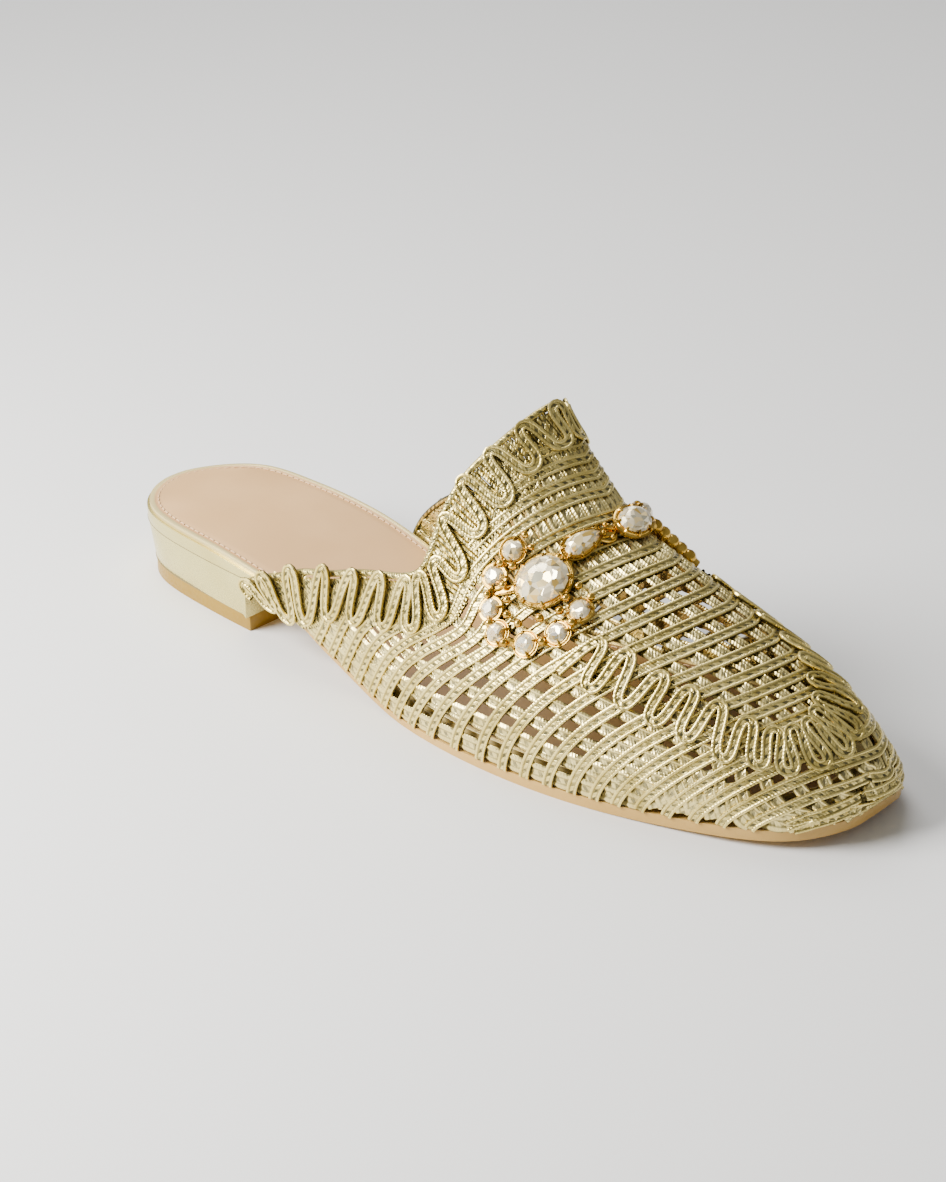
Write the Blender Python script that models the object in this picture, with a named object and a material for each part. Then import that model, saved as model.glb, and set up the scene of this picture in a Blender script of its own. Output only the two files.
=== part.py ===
"""Woven mule with a raised tongue, looped trims, a jewelled bit and a low block heel.

Right shoe. Metres, +Z up, +Y to the toe, +X to the outer side of the foot. The sizes below are in
millimetres, measured from the back of the heel along Y and from the floor along Z.
"""
from math import cos, pi, radians, sin

import bmesh
import bpy
import numpy as np
from mathutils import Matrix, Vector

MM = 0.001
SEAT = 0.3            # gap between pieces that touch on the real shoe

# ---------------------------------------------------------------- driving sizes (mm)
LENGTH = 250.0        # outsole, heel to toe
HEEL_SEAT = 22.2      # insole above the floor at the heel
BALL_SEAT = 7.7       # insole above the floor at the ball
HEEL_TOP = 17.0       # top of the heel block
BREAST = 61.5         # front face of the heel
LIFT_THICK = 4.7      # rubber top lift
SOCK_THICK = 1.0      # insole sock
SOLE_THICK = 2.9      # outsole in the forefoot
WAIST_THICK = 0.85    # outsole where it meets the heel
TOE_SPRING = 3.2
WALL = 2.0            # woven upper, over a band
BAND_RISE = 0.8       # how far a woven band stands above the gaps
TRIM_RISE = 1.5       # looped cord, top to bottom
LEDGE = 1.9           # board edge inside the outsole edge, room for the upper
AXIS_X = -7.0         # long axis of the vamp, inside the heel's axis

# Sole outline: half widths from the heel's axis, outer side and inner side, at distance y.
OUTLINE = (
    # y, outer, inner
    (4.0, 12.0, 13.6),
    (15.0, 21.2, 24.3),
    (35.0, 25.6, 26.5),
    (60.0, 27.6, 26.3),
    (85.0, 28.6, 25.9),
    (110.0, 31.6, 24.4),
    (135.0, 36.4, 27.1),
    (155.0, 38.2, 31.5),
    (175.0, 37.5, 36.0),
    (195.0, 34.2, 38.1),
    (215.0, 28.6, 36.2),
    (232.5, 22.1, 30.9),
    (243.75, 13.9, 25.2),
)
HEEL_BACK = (-1.0, 0.0)
TOE_FRONT = ((1.5, 249.6), (-7.5, LENGTH), (-17.5, 249.6))

# The last, one row for each of the numbered woven bands that shape it. Band 0 is the one nearest
# the toe. A band leaves the sole edge at `outer` and `inner`, and crosses the ridge at `crest`,
# `height`. `full_o` and `full_i` say how square the section is: 2 is an ellipse, 3 is boxy.
LAST = (
    # band, outer, inner, crest, height, full_o, full_i
    (0, 241.0, 236.0, 254.0, 12.0, 2.9, 2.6),
    (2, 228.0, 223.0, 247.5, 22.3, 2.7, 2.1),
    (5, 208.0, 199.0, 235.5, 31.5, 2.5, 1.95),
    (8, 186.0, 175.0, 220.5, 38.2, 2.4, 1.8),
    (11, 165.0, 152.0, 200.0, 44.8, 2.4, 1.8),
    (14, 143.0, 130.0, 182.0, 51.0, 2.25, 1.85),
    (16, 129.5, 116.0, 170.5, 56.0, 2.05, 1.92),
    (18, 117.6, 105.0, 160.5, 65.0, 1.9, 2.0),
    (20, 105.5, 93.0, 151.0, 75.0, 1.85, 2.0),
    (23, 88.0, 75.0, 137.0, 88.0, 1.85, 2.0),
    (27, 62.0, 52.0, 112.0, 105.0, 1.85, 2.0),
)
BAND_LEAN = 1.4       # how late a band starts to lean forward as it climbs
TOE_ROLL = (2.0, 17.0)    # half widths that the first band keeps in front, outer and inner

# Topline: the band number at which the wall ends, at a share of the way round from the ridge
# (0) to the sole edge (1 on the outer side, -1 on the inner side).
TOPLINE = (
    # share, band
    (-1.0, 23.1),
    (-0.92, 22.85),
    (-0.85, 22.4),
    (-0.78, 21.7),
    (-0.73, 20.7),
    (-0.68, 19.8),
    (-0.63, 19.7),
    (-0.57, 20.1),
    (-0.45, 20.9),
    (-0.30, 21.2),
    (0.0, 21.5),
    (0.29, 21.2),
    (0.40, 20.9),
    (0.49, 20.2),
    (0.56, 19.5),
    (0.61, 19.3),
    (0.66, 19.8),
    (0.72, 21.0),
    (0.77, 22.0),
    (0.82, 23.0),
    (0.86, 24.0),
    (0.91, 25.0),
    (0.95, 26.0),
    (1.0, 26.9),
)


# ---------------------------------------------------------------- small helpers
def ease(low, high, value):
    """0 below `low`, 1 above `high`, smooth between."""
    t = np.clip((value - low) / (high - low), 0.0, 1.0)
    return t * t * (3.0 - 2.0 * t)


def spline(xs, ys):
    """Natural cubic through a short table, as a function."""
    xs = np.asarray(xs, float)
    ys = np.asarray(ys, float)
    count = len(xs)
    step = np.diff(xs)
    matrix = np.eye(count)
    right = np.zeros(count)
    for i in range(1, count - 1):
        matrix[i, i - 1:i + 2] = (step[i - 1], 2.0 * (step[i - 1] + step[i]), step[i])
        right[i] = 3.0 * ((ys[i + 1] - ys[i]) / step[i] - (ys[i] - ys[i - 1]) / step[i - 1])
    bend = np.linalg.solve(matrix, right)

    def value(x):
        i = np.clip(np.searchsorted(xs, x) - 1, 0, count - 2)
        d = x - xs[i]
        slope = (ys[i + 1] - ys[i]) / step[i] - step[i] * (2.0 * bend[i] + bend[i + 1]) / 3.0
        return ys[i] + slope * d + bend[i] * d ** 2 + (bend[i + 1] - bend[i]) / (3.0 * step[i]) * d ** 3

    return value


def side_curve(side, samples=400):
    """The sole's edge on one side, from the heel's back to the middle of the toe."""
    points = [HEEL_BACK]
    points += [(side * (outer if side > 0 else inner), y) for y, outer, inner in OUTLINE]
    points += [TOE_FRONT[0] if side > 0 else TOE_FRONT[2], TOE_FRONT[1]]
    points = np.array(points)
    before = np.array([[-2.0 - points[1, 0], points[1, 1]]])
    after = np.array([[-15.0 - points[-2, 0], points[-2, 1]]])
    points = np.vstack([before, points, after])
    knots = np.concatenate([[0.0], np.cumsum(np.sqrt(np.linalg.norm(np.diff(points, axis=0), axis=1)))])
    along = np.linspace(knots[1], knots[-2], samples)
    return np.stack([spline(knots, points[:, 0])(along), spline(knots, points[:, 1])(along)], axis=1)


EDGE = {1: side_curve(1), -1: side_curve(-1)}


def half_width(y, side):
    """Sole edge at distance y, on the outer (1) or inner (-1) side."""
    curve = EDGE[side]
    rising = np.maximum.accumulate(curve[:, 1] + np.arange(len(curve)) * 1e-6)
    return np.interp(y, rising, curve[:, 0])


def shell_width(y, side):
    """As half_width(), but past the toe the upper keeps some width where it rolls over the edge."""
    last = OUTLINE[-1][0]
    front = TOE_ROLL[0] if side > 0 else TOE_ROLL[1]
    width = side * half_width(min(y, last), side)
    along = min(max((y - last) / (LENGTH - last), 0.0), 1.0)
    return side * (front + (width - front) * (1.0 - along ** 2) ** 0.5)


# ---------------------------------------------------------------- levels along the sole
def toe_lift(y):
    return TOE_SPRING * np.clip((y - 185.0) / (LENGTH - 185.0), 0.0, 1.0) ** 1.8


def underside(y):
    """Bottom of the outsole: raised at the waist, flat at the ball, sprung at the toe."""
    return HEEL_TOP * (1.0 - ease(50.0, 132.0, y)) + toe_lift(y)


def sole_thickness(y):
    return WAIST_THICK + (SOLE_THICK - WAIST_THICK) * ease(70.0, 200.0, y)


def board_bottom(y):
    return np.where(y < BREAST + 0.5, HEEL_TOP, underside(y) + sole_thickness(y)) + SEAT


def insole_top(y):
    return HEEL_SEAT - (HEEL_SEAT - BALL_SEAT) * ease(40.0, 150.0, y) + toe_lift(y)


def board_top(y):
    return insole_top(y) - SOCK_THICK - SEAT


def feather_level(y):
    """Where the upper's lower edge stands: on the outsole, and over its side at the waist."""
    return underside(y) + SEAT + sole_thickness(y) * ease(62.0, 78.0, y)


def board_inset(y):
    return 0.2 + LEDGE * ease(60.0, 95.0, y) + 1.7 * ease(180.0, 245.0, y)


def sock_inset(y):
    return board_inset(y) + 0.8 + 6.0 * ease(205.0, 247.0, y)


def sole_inset(y):
    return 1.0 * (1.0 - ease(80.0, 97.0, y))


def wall_outset(y):
    """The wall's outer face outside the sole's edge line."""
    return 0.4 + LEDGE * (1.0 - ease(60.0, 95.0, y))


# ---------------------------------------------------------------- the last
LAST_COLUMNS = [spline([row[0] for row in LAST], [row[i] for row in LAST]) for i in range(1, 7)]


def surface(band, share):
    """A point of the upper's outer face, in mm: `band` along the foot, `share` round it."""
    side = 1 if share >= 0 else -1
    outer, inner, crest, height, full_o, full_i = (column(band) for column in LAST_COLUMNS)
    fullness = full_o if side > 0 else full_i
    foot = outer if side > 0 else inner
    angle = min(abs(share), 1.0) * pi / 2
    up = max(cos(angle), 0.0) ** (2.0 / fullness)
    out = max(sin(angle), 0.0) ** (2.0 / fullness)
    base = float(feather_level(foot))
    y = foot + (crest - foot) * up ** BAND_LEAN
    edge = shell_width(y, side) + side * float(wall_outset(y))
    return Vector((AXIS_X + (edge - AXIS_X) * out, y, base + (height - base) * up))


def toe_front(share):
    """The sole edge round the toe, between the feet of band 0."""
    lengths = {}
    for side, foot in ((1, LAST[0][1]), (-1, LAST[0][2])):
        curve = EDGE[side][EDGE[side][:, 1] >= foot]
        lengths[side] = curve[::-1]
    curve = lengths[1 if share >= 0 else -1]
    run = np.concatenate([[0.0], np.cumsum(np.linalg.norm(np.diff(curve, axis=0), axis=1))])
    along = min(abs(share), 1.0) * run[-1]
    x = float(np.interp(along, run, curve[:, 0]))
    y = float(np.interp(along, run, curve[:, 1]))
    ahead = np.array([x - AXIS_X, y - 215.0])
    ahead /= np.linalg.norm(ahead)
    return Vector((x + 0.4 * ahead[0], y + 0.4 * ahead[1], float(feather_level(y))))


def shell_point(band, share):
    """As surface(), and below band 0 the wall that closes the toe down to the sole."""
    if band >= 0:
        return surface(band, share)
    mix = min(-band, 1.0)
    return surface(0.0, share).lerp(toe_front(share), mix)


TOP_LIMIT = spline([row[0] for row in TOPLINE], [row[1] for row in TOPLINE])


def surface_normal(band, share):
    step = 0.02
    low, high = max(share - step, -1.0), min(share + step, 1.0)
    around = shell_point(band, high) - shell_point(band, low)
    along = shell_point(band - 0.1, share) - shell_point(band + 0.1, share)
    return along.cross(around).normalized() * -1.0


# ---------------------------------------------------------------- scene and materials
for old in list(bpy.data.objects):
    bpy.data.objects.remove(old, do_unlink=True)

shoe = bpy.data.collections.new("woven_mule")
bpy.context.scene.collection.children.link(shoe)


def finish(name, colour, roughness, metallic=0.0):
    material = bpy.data.materials.new(name)
    material.use_nodes = True
    shader = material.node_tree.nodes["Principled BSDF"]
    shader.inputs["Base Color"].default_value = (*colour, 1.0)
    shader.inputs["Roughness"].default_value = roughness
    shader.inputs["Metallic"].default_value = metallic
    return material


gold_weave = finish("gold_weave", (0.60, 0.54, 0.34), 0.42, 0.55)
gold_leather = finish("gold_leather", (0.66, 0.62, 0.44), 0.38, 0.45)
beige_leather = finish("beige_leather", (0.72, 0.54, 0.41), 0.6)
tan_rubber = finish("tan_rubber", (0.56, 0.36, 0.17), 0.55)
gold_metal = finish("gold_metal", (0.78, 0.50, 0.16), 0.22, 1.0)
crystal = finish("crystal", (0.90, 0.84, 0.72), 0.05)


def add_object(name, bm, material, smooth_angle=None):
    mesh = bpy.data.meshes.new(name)
    bm.to_mesh(mesh)
    bm.free()
    mesh.materials.append(material)
    if smooth_angle:
        mesh.shade_smooth()
        mesh.set_sharp_from_angle(angle=radians(smooth_angle))
    piece = bpy.data.objects.new(name, mesh)
    piece.parent = origin
    shoe.objects.link(piece)
    return piece


origin = bpy.data.objects.new("shoe_origin", None)
shoe.objects.link(origin)


# ---------------------------------------------------------------- sole pieces
RUNGS = 30            # cross lines that every sole piece shares


def edge_lines(inset, y_from, y_to):
    """The sole's edge on both sides, moved in by `inset`, between two distances from the heel."""
    moved = {}
    for side in (1, -1):
        curve = EDGE[side]
        tangent = np.gradient(curve, axis=0)
        tangent /= np.linalg.norm(tangent, axis=1)[:, None]
        outward = np.stack([tangent[:, 1], -tangent[:, 0]], axis=1) * side
        moved[side] = curve - outward * np.asarray(inset(curve[:, 1]))[:, None]
    spots = np.linspace(0, len(EDGE[1]) - 1, RUNGS + 1)
    index = np.arange(len(EDGE[1]))
    grids = [np.stack([np.interp(spots, index, moved[side][:, i]) for i in (0, 1)], axis=1) for side in (1, -1)]
    keep = np.ones(RUNGS + 1, bool)
    for grid in grids:
        keep &= (y_from <= 0) | (grid[:, 1] > y_from + 1.0)
        keep &= (y_to >= LENGTH) | (grid[:, 1] < y_to - 1.0)
    lines = []
    for side, grid in zip((1, -1), grids):
        rising = np.maximum.accumulate(moved[side][:, 1] + index * 1e-6)
        line = [tuple(point) for point in grid[keep]]
        if y_from > 0:
            line.insert(0, (float(np.interp(y_from, rising, moved[side][:, 0])), y_from))
        if y_to < LENGTH:
            line.append((float(np.interp(y_to, rising, moved[side][:, 0])), y_to))
        lines.append(line)
    return lines


def plate(name, material, y_from, y_to, inset, bottom, top):
    """A slab of the sole between two distances from the heel, closed from side to side."""
    bm = bmesh.new()
    outer, inner = edge_lines(inset, y_from, y_to)
    levels = []
    for level in (bottom, top):
        sides = [[bm.verts.new(Vector((x, y, float(level(y)))) * MM) for x, y in line] for line in (outer, inner)]
        levels.append(sides)
    merge = []
    for left, right in levels:
        if y_from <= 0:
            merge.append((left[0], right[0]))
        if y_to >= LENGTH:
            merge.append((left[-1], right[-1]))
    low, high = levels
    for side in (0, 1):
        for a, b, c, d in zip(low[side], low[side][1:], high[side][1:], high[side]):
            bm.faces.new((a, b, c, d))
    for left, right in levels:
        for a, b, c, d in zip(left, left[1:], right[1:], right):
            bm.faces.new((a, b, c, d))
    if y_from > 0:
        bm.faces.new((low[0][0], low[1][0], high[1][0], high[0][0]))
    if y_to < LENGTH:
        bm.faces.new((low[0][-1], low[1][-1], high[1][-1], high[0][-1]))
    bmesh.ops.weld_verts(bm, targetmap={second: first for first, second in merge})
    bmesh.ops.recalc_face_normals(bm, faces=bm.faces)
    return add_object(name, bm, material, 30)


def constant(value):
    return lambda y: np.zeros_like(np.asarray(y, float)) + value


plate("outsole", tan_rubber, BREAST + 0.4, LENGTH, sole_inset, underside,
      lambda y: underside(y) + sole_thickness(y))
plate("insole_board", gold_leather, 0.0, LENGTH, board_inset, board_bottom, board_top)
plate("insole", beige_leather, 0.0, LENGTH, sock_inset, lambda y: board_top(y) + SEAT, insole_top)
plate("top_lift", tan_rubber, 0.0, BREAST - 0.4, constant(2.2), constant(0.0), constant(LIFT_THICK))
heel_block = plate("heel_block", gold_leather, 0.0, BREAST, constant(1.0),
                   constant(LIFT_THICK + SEAT), constant(HEEL_TOP))
for vertex in heel_block.data.vertices:
    if vertex.co.z < (LIFT_THICK + 1.0) * MM and vertex.co.y < (BREAST - 0.1) * MM:
        centre = Vector((0.0, 32.0 * MM, vertex.co.z))
        vertex.co += (centre - vertex.co).normalized() * 1.1 * MM


# ---------------------------------------------------------------- woven upper
LAST_BAND = 27        # bands on a wing
TONGUE_BAND = 21      # bands on the tongue
FIRST_FREE = 13       # from this band on they bend towards the throat corner
CORNER = {1: 0.61, -1: 0.65}
GAP_BANDS = range(8, 18)
SHARES = {
    1: (0.0, 0.12, 0.235, 0.285, 0.31, 0.36, 0.48, CORNER[1],
        0.63, 0.675, 0.705, 0.75, 0.78, 0.825, 0.855, 0.90, 1.0),
    -1: (0.0, 0.12, 0.235, 0.285, 0.31, 0.36, 0.50, CORNER[-1],
         0.67, 0.71, 0.735, 0.775, 0.80, 0.84, 0.865, 0.905, 1.0),
}
GAP_COLUMNS = (2, 4, 8, 10, 12, 14)


def band_line(band, share):
    """Where a band runs: they bunch up round the throat corner, and the last one is the topline."""
    if band <= FIRST_FREE:
        return band
    side = 1 if share >= 0 else -1
    limit = float(TOP_LIMIT(share))
    near = min((band - FIRST_FREE) / (TONGUE_BAND - FIRST_FREE), 1.0)
    far = (band - FIRST_FREE) / (LAST_BAND - FIRST_FREE)
    mix = float(ease(CORNER[side], 0.85, abs(share)))
    return FIRST_FREE + (limit - FIRST_FREE) * (near * (1.0 - mix) + far * mix)


def upper_rows():
    """(band, is it a valley, does the inner face have it too) for every line across the upper."""
    rows = [(-1.0, False, True), (-0.5, True, False)]
    for band in range(LAST_BAND):
        if band in GAP_BANDS or band == GAP_BANDS[-1] + 1:
            rows += [(band - 0.25, False, True), (band + 0.25, False, True), (band + 0.5, True, False)]
        else:
            rows += [(float(band), False, band % 2 == 0 or band == TONGUE_BAND), (band + 0.5, True, False)]
    return rows + [(float(LAST_BAND), False, True)]


def upper():
    bm = bmesh.new()
    rows = upper_rows()
    shares = [-s for s in SHARES[-1][:0:-1]] + list(SHARES[1])
    corners = (-CORNER[-1], CORNER[1])
    outer, inner = {}, {}
    for i, (band, valley, shared) in enumerate(rows):
        for j, share in enumerate(shares):
            if band > TONGUE_BAND and corners[0] < share < corners[1]:
                continue
            if band > TONGUE_BAND and share in corners:
                top = next(n for n, row in enumerate(rows) if row[0] == TONGUE_BAND)
                outer[i, j], inner[i, j] = outer[top, j], inner[top, j]
                continue
            at = max(band, 0.0) if abs(share) == 1.0 else band
            if band < 0 and abs(share) == 1.0:
                continue
            line = band_line(at, share)
            spacing = (band_line(at + 0.25, share) - band_line(at - 0.25, share)) * 2.0
            point = shell_point(line, share)
            normal = surface_normal(line, share)
            sink = BAND_RISE * min(1.0, max(spacing, 0.0) / 0.7) if valley and band > 0 else 0.0
            outer[i, j] = bm.verts.new((point - normal * sink) * MM)
            if shared:
                inside = point - normal * WALL
                if abs(share) == 1.0 or band == -1.0:
                    inside.z = point.z
                inner[i, j] = bm.verts.new(inside * MM)
    last = len(shares) - 1
    foot = next(n for n, row in enumerate(rows) if row[0] == 0.0)
    for i, (band, valley, shared) in enumerate(rows):
        if band < 0:
            for j in (0, last):
                outer[i, j] = None
    for i in range(foot):
        for j in (0, last):
            outer[i, j] = "foot"

    def pick(table, i, j):
        if table.get((i, j)) == "foot" or (table is inner and i < foot and j in (0, last)):
            return table[foot, j]
        return table.get((i, j))

    def patch(corner_list):
        ring = []
        for vertex in corner_list:
            if vertex is not None and vertex not in ring:
                ring.append(vertex)
        if len(ring) > 2:
            bm.faces.new(ring)

    centre = shares.index(0.0)
    gap_columns = {centre + c for c in GAP_COLUMNS} | {centre - c - 1 for c in GAP_COLUMNS}
    shared_rows = [i for i, row in enumerate(rows) if row[2]]
    for start, stop in zip(shared_rows, shared_rows[1:]):
        is_gap = rows[start][0] - 0.25 in GAP_BANDS and rows[stop][0] - rows[start][0] < 0.6
        for j in range(last):
            if (start, j) not in outer or (stop, j) not in outer or (stop, j + 1) not in outer:
                continue
            steps = range(start, stop + 1)
            left = [pick(outer, i, j) for i in steps]
            right = [pick(outer, i, j + 1) for i in steps]
            in_left, in_right = ([pick(inner, i, c) for i in (start, stop)] for c in (j, j + 1))
            if is_gap and j in gap_columns:
                patch(left + in_left[::-1])
                patch(in_right + right[::-1])
                patch((left[0], in_left[0], in_right[0], right[0]))
                patch((right[-1], in_right[-1], in_left[-1], left[-1]))
                continue
            for a, b, c, d in zip(left, right, right[1:], left[1:]):
                patch((a, b, c, d))
            patch((in_left[0], in_left[1], in_right[1], in_right[0]))
        for j in (0, last):
            steps = range(start, stop + 1)
            side = [pick(outer, i, j) for i in steps]
            patch(side + [pick(inner, stop, j), pick(inner, start, j)])
    for j in range(last):
        patch((pick(outer, 0, j), pick(inner, 0, j), pick(inner, 0, j + 1), pick(outer, 0, j + 1)))
        tongue = corners[0] <= min(shares[j], shares[j + 1]) and max(shares[j], shares[j + 1]) <= corners[1]
        top = next(n for n, row in enumerate(rows) if row[0] == (TONGUE_BAND if tongue else LAST_BAND))
        patch((outer[top, j], outer[top, j + 1], inner[top, j + 1], inner[top, j]))
    bmesh.ops.triangulate(bm, faces=[f for f in bm.faces if len(f.verts) > 4])
    bmesh.ops.recalc_face_normals(bm, faces=bm.faces)
    if bm.calc_volume(signed=True) < 0:
        bmesh.ops.reverse_faces(bm, faces=bm.faces)
    return add_object("upper", bm, gold_weave, 25)


upper()


# ---------------------------------------------------------------- looped cords
TAPE = 2.1            # width of the cord

# Where the cord along the topline turns, as (band, share): inside and outside by turns.
TOP_TURNS = (
    (22.3, -1.0),
    (22.95, -0.93), (21.2, -0.99), (22.5, -0.86), (20.9, -0.95), (21.8, -0.795), (20.2, -0.895),
    (20.9, -0.74), (19.3, -0.835), (20.05, -0.69), (18.4, -0.775), (19.75, -0.65), (17.85, -0.70),
    (19.8, -0.605), (17.95, -0.615), (20.05, -0.55), (18.15, -0.53), (20.45, -0.475), (18.75, -0.425),
    (20.95, -0.385), (19.25, -0.32), (21.2, -0.285), (19.7, -0.205), (21.35, -0.145), (19.85, -0.065),
    (21.4, 0.015), (19.8, 0.065), (21.35, 0.17), (19.65, 0.20), (21.15, 0.285), (19.15, 0.315),
    (20.9, 0.385), (18.75, 0.415), (20.15, 0.475), (17.9, 0.52), (19.2, 0.555), (17.2, 0.635),
    (19.2, 0.61), (17.7, 0.725), (19.7, 0.655), (18.9, 0.785), (20.9, 0.715), (20.3, 0.845),
    (22.2, 0.775), (21.7, 0.895), (23.6, 0.835), (22.8, 0.95), (24.9, 0.895), (24.2, 0.985),
    (26.1, 0.955), (25.6, 1.0),
)

# Where the cord of the U on the vamp turns, from the outer side of the foot to the inner side.
VAMP_TURNS = (
    (12.05, 0.52),
    (11.85, 0.57), (11.85, 0.42), (10.45, 0.59), (10.8, 0.41), (9.15, 0.59), (9.4, 0.415),
    (7.85, 0.60), (8.25, 0.41), (6.5, 0.605), (7.1, 0.405), (5.1, 0.615), (5.9, 0.395),
    (3.7, 0.585), (4.8, 0.36), (2.5, 0.50), (4.4, 0.27), (2.15, 0.32), (4.4, 0.175),
    (2.2, 0.13), (4.9, 0.09), (3.2, -0.035), (5.9, 0.035), (4.5, -0.125), (7.1, -0.01),
    (5.9, -0.165), (8.35, -0.06), (7.3, -0.215), (9.5, -0.115), (8.7, -0.27), (10.6, -0.17),
    (10.1, -0.335), (11.7, -0.235), (11.4, -0.40), (12.1, -0.31),
)


def on_surface(band, share, rise):
    return surface(band, share) + surface_normal(band, share) * rise


def hairpins(turns, outside, inside):
    """A path through the turns; each is squared off by points `outside` or `inside` mm beside it."""
    turns = np.array(turns)
    path = [turns[0]]
    for i in range(1, len(turns) - 1):
        here, low, high = turns[i], turns[max(i - 2, i % 2)], turns[min(i + 2, len(turns) - 1)]
        reach = (surface(*high) - surface(*low)).length
        step = (high - low) * (outside if i % 2 else inside) / reach
        if i % 2:
            back = ((turns[i - 1] + turns[i + 1]) / 2.0 - here) * 0.15
            path += [here + back - step, here, here + back + step]
        else:
            path += [here - step, here + step]
    path.append(turns[-1])
    return [(float(band), float(np.clip(share, -1.0, 1.0))) for band, share in path]


def ribbon(bm, path, width, low, high):
    """A flat strip on the upper along a path of (band, share), with square ends."""
    points = [surface(*spot) for spot in path]
    normals = [surface_normal(*spot) for spot in path]
    rings = []
    for i, (point, normal) in enumerate(zip(points, normals)):
        before = (point - points[i - 1]).normalized() if i else None
        after = (points[i + 1] - point).normalized() if i < len(points) - 1 else None
        tangent = ((before or after) + (after or before)).normalized()
        across = normal.cross(tangent).normalized()
        widen = 1.0 / max((before or after).dot(tangent), 0.6)
        half = across * (width / 2.0 * widen)
        corners = (point - half + normal * low, point + half + normal * low,
                   point + half + normal * high, point - half + normal * high)
        rings.append([bm.verts.new(corner * MM) for corner in corners])
    for first, second in zip(rings, rings[1:]):
        for i in range(4):
            bm.faces.new((first[i], first[(i + 1) % 4], second[(i + 1) % 4], second[i]))
    bm.faces.new(rings[0][::-1])
    bm.faces.new(rings[-1])


def cord(name, turns, outside, inside, low):
    bm = bmesh.new()
    ribbon(bm, hairpins(turns, outside, inside), TAPE, low, low + TRIM_RISE)
    bmesh.ops.recalc_face_normals(bm, faces=bm.faces)
    return add_object(name, bm, gold_weave, 30)


cord("topline_trim", TOP_TURNS, 1.5, 1.7, 1.4 * SEAT)
cord("vamp_trim", VAMP_TURNS, 1.6, 1.4, 2.5 * SEAT)


# ---------------------------------------------------------------- jewelled bit
BEZEL = 0.5           # gold left round each stone
STONES = (
    # name, band, share, long, short, height, turn in degrees, outline
    ("stone_centre", 15.95, 0.0, 10.5, 8.0, 3.2, 90.0, "oval"),
    ("stone_pear", 16.15, 0.2, 10.2, 6.8, 3.0, 90.0, "pear"),
    ("stone_oval", 15.55, 0.365, 13.8, 12.8, 4.0, 70.0, "oval"),
    ("stone_round_1", 17.4, 0.375, 5.4, 5.4, 2.4, 0.0, "round"),
    ("stone_round_2", 16.95, 0.455, 5.4, 5.4, 2.4, 0.0, "round"),
    ("stone_round_3", 15.85, 0.525, 5.4, 5.4, 2.4, 0.0, "round"),
    ("stone_round_4", 14.75, 0.575, 5.4, 5.4, 2.4, 0.0, "round"),
    ("stone_round_5", 13.55, 0.56, 5.4, 5.4, 2.4, 0.0, "round"),
    ("stone_round_6", 13.15, 0.475, 5.4, 5.4, 2.4, 0.0, "round"),
    ("stone_round_7", 13.5, 0.37, 5.4, 5.4, 2.4, 0.0, "round"),
)
HORSESHOE = ((17.4, 0.375), (17.25, 0.415), (16.95, 0.455), (16.45, 0.495), (15.85, 0.525), (15.3, 0.555),
             (14.75, 0.575), (14.1, 0.58), (13.55, 0.56), (13.25, 0.525), (13.15, 0.475), (13.25, 0.42),
             (13.5, 0.37))
BAR_WIDTH = 2.4


def outline(long, short, kind, grow, count):
    """Outline of a stone as (x, y) points, x along its long axis; a pear narrows towards +x."""
    points = []
    for i in range(count):
        angle = 2.0 * pi * i / count
        x, y = cos(angle) * (long / 2.0 + grow), sin(angle) * (short / 2.0 + grow)
        if kind == "pear":
            y *= 1.0 - 0.42 * (1.0 + cos(angle)) / 2.0
        points.append((x, y))
    return points


def seat(band, share, turn):
    """Axes of a stone on the upper: x towards the ridge when turned by 90, z off the surface."""
    normal = surface_normal(band, share)
    along = shell_point(band - 0.3, share) - shell_point(band + 0.3, share)
    along = (along - normal * along.dot(normal)).normalized()
    across = normal.cross(along)
    side = -1.0 if share < 0 else 1.0
    spin = radians(turn) * side
    axis = along * cos(spin) + across * sin(spin)
    return surface(band, share), axis, normal.cross(axis), normal


def prism(bm, frame, rings):
    """A closed body from rings of outline points at rising levels."""
    centre, x_axis, y_axis, z_axis = frame
    made = []
    for points, level in rings:
        ring = [bm.verts.new((centre + x_axis * x + y_axis * y + z_axis * level) * MM) for x, y in points]
        made.append(ring)
    for first, second in zip(made, made[1:]):
        count = len(first)
        for i in range(count):
            bm.faces.new((first[i], first[(i + 1) % count], second[(i + 1) % count], second[i]))
    bm.faces.new(made[0][::-1])
    bm.faces.new(made[-1])


def stone_set():
    """Every stone as (name, seat, long, short, height, outline kind), both sides of the shoe."""
    made = []
    for name, band, share, long, short, height, turn, kind in STONES:
        for side in ((1,) if share == 0 else (1, -1)):
            label = name if share == 0 else name + ("_outer" if side > 0 else "_inner")
            made.append((label, seat(band, side * share, turn), long, short, height, kind))
    return made


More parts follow.
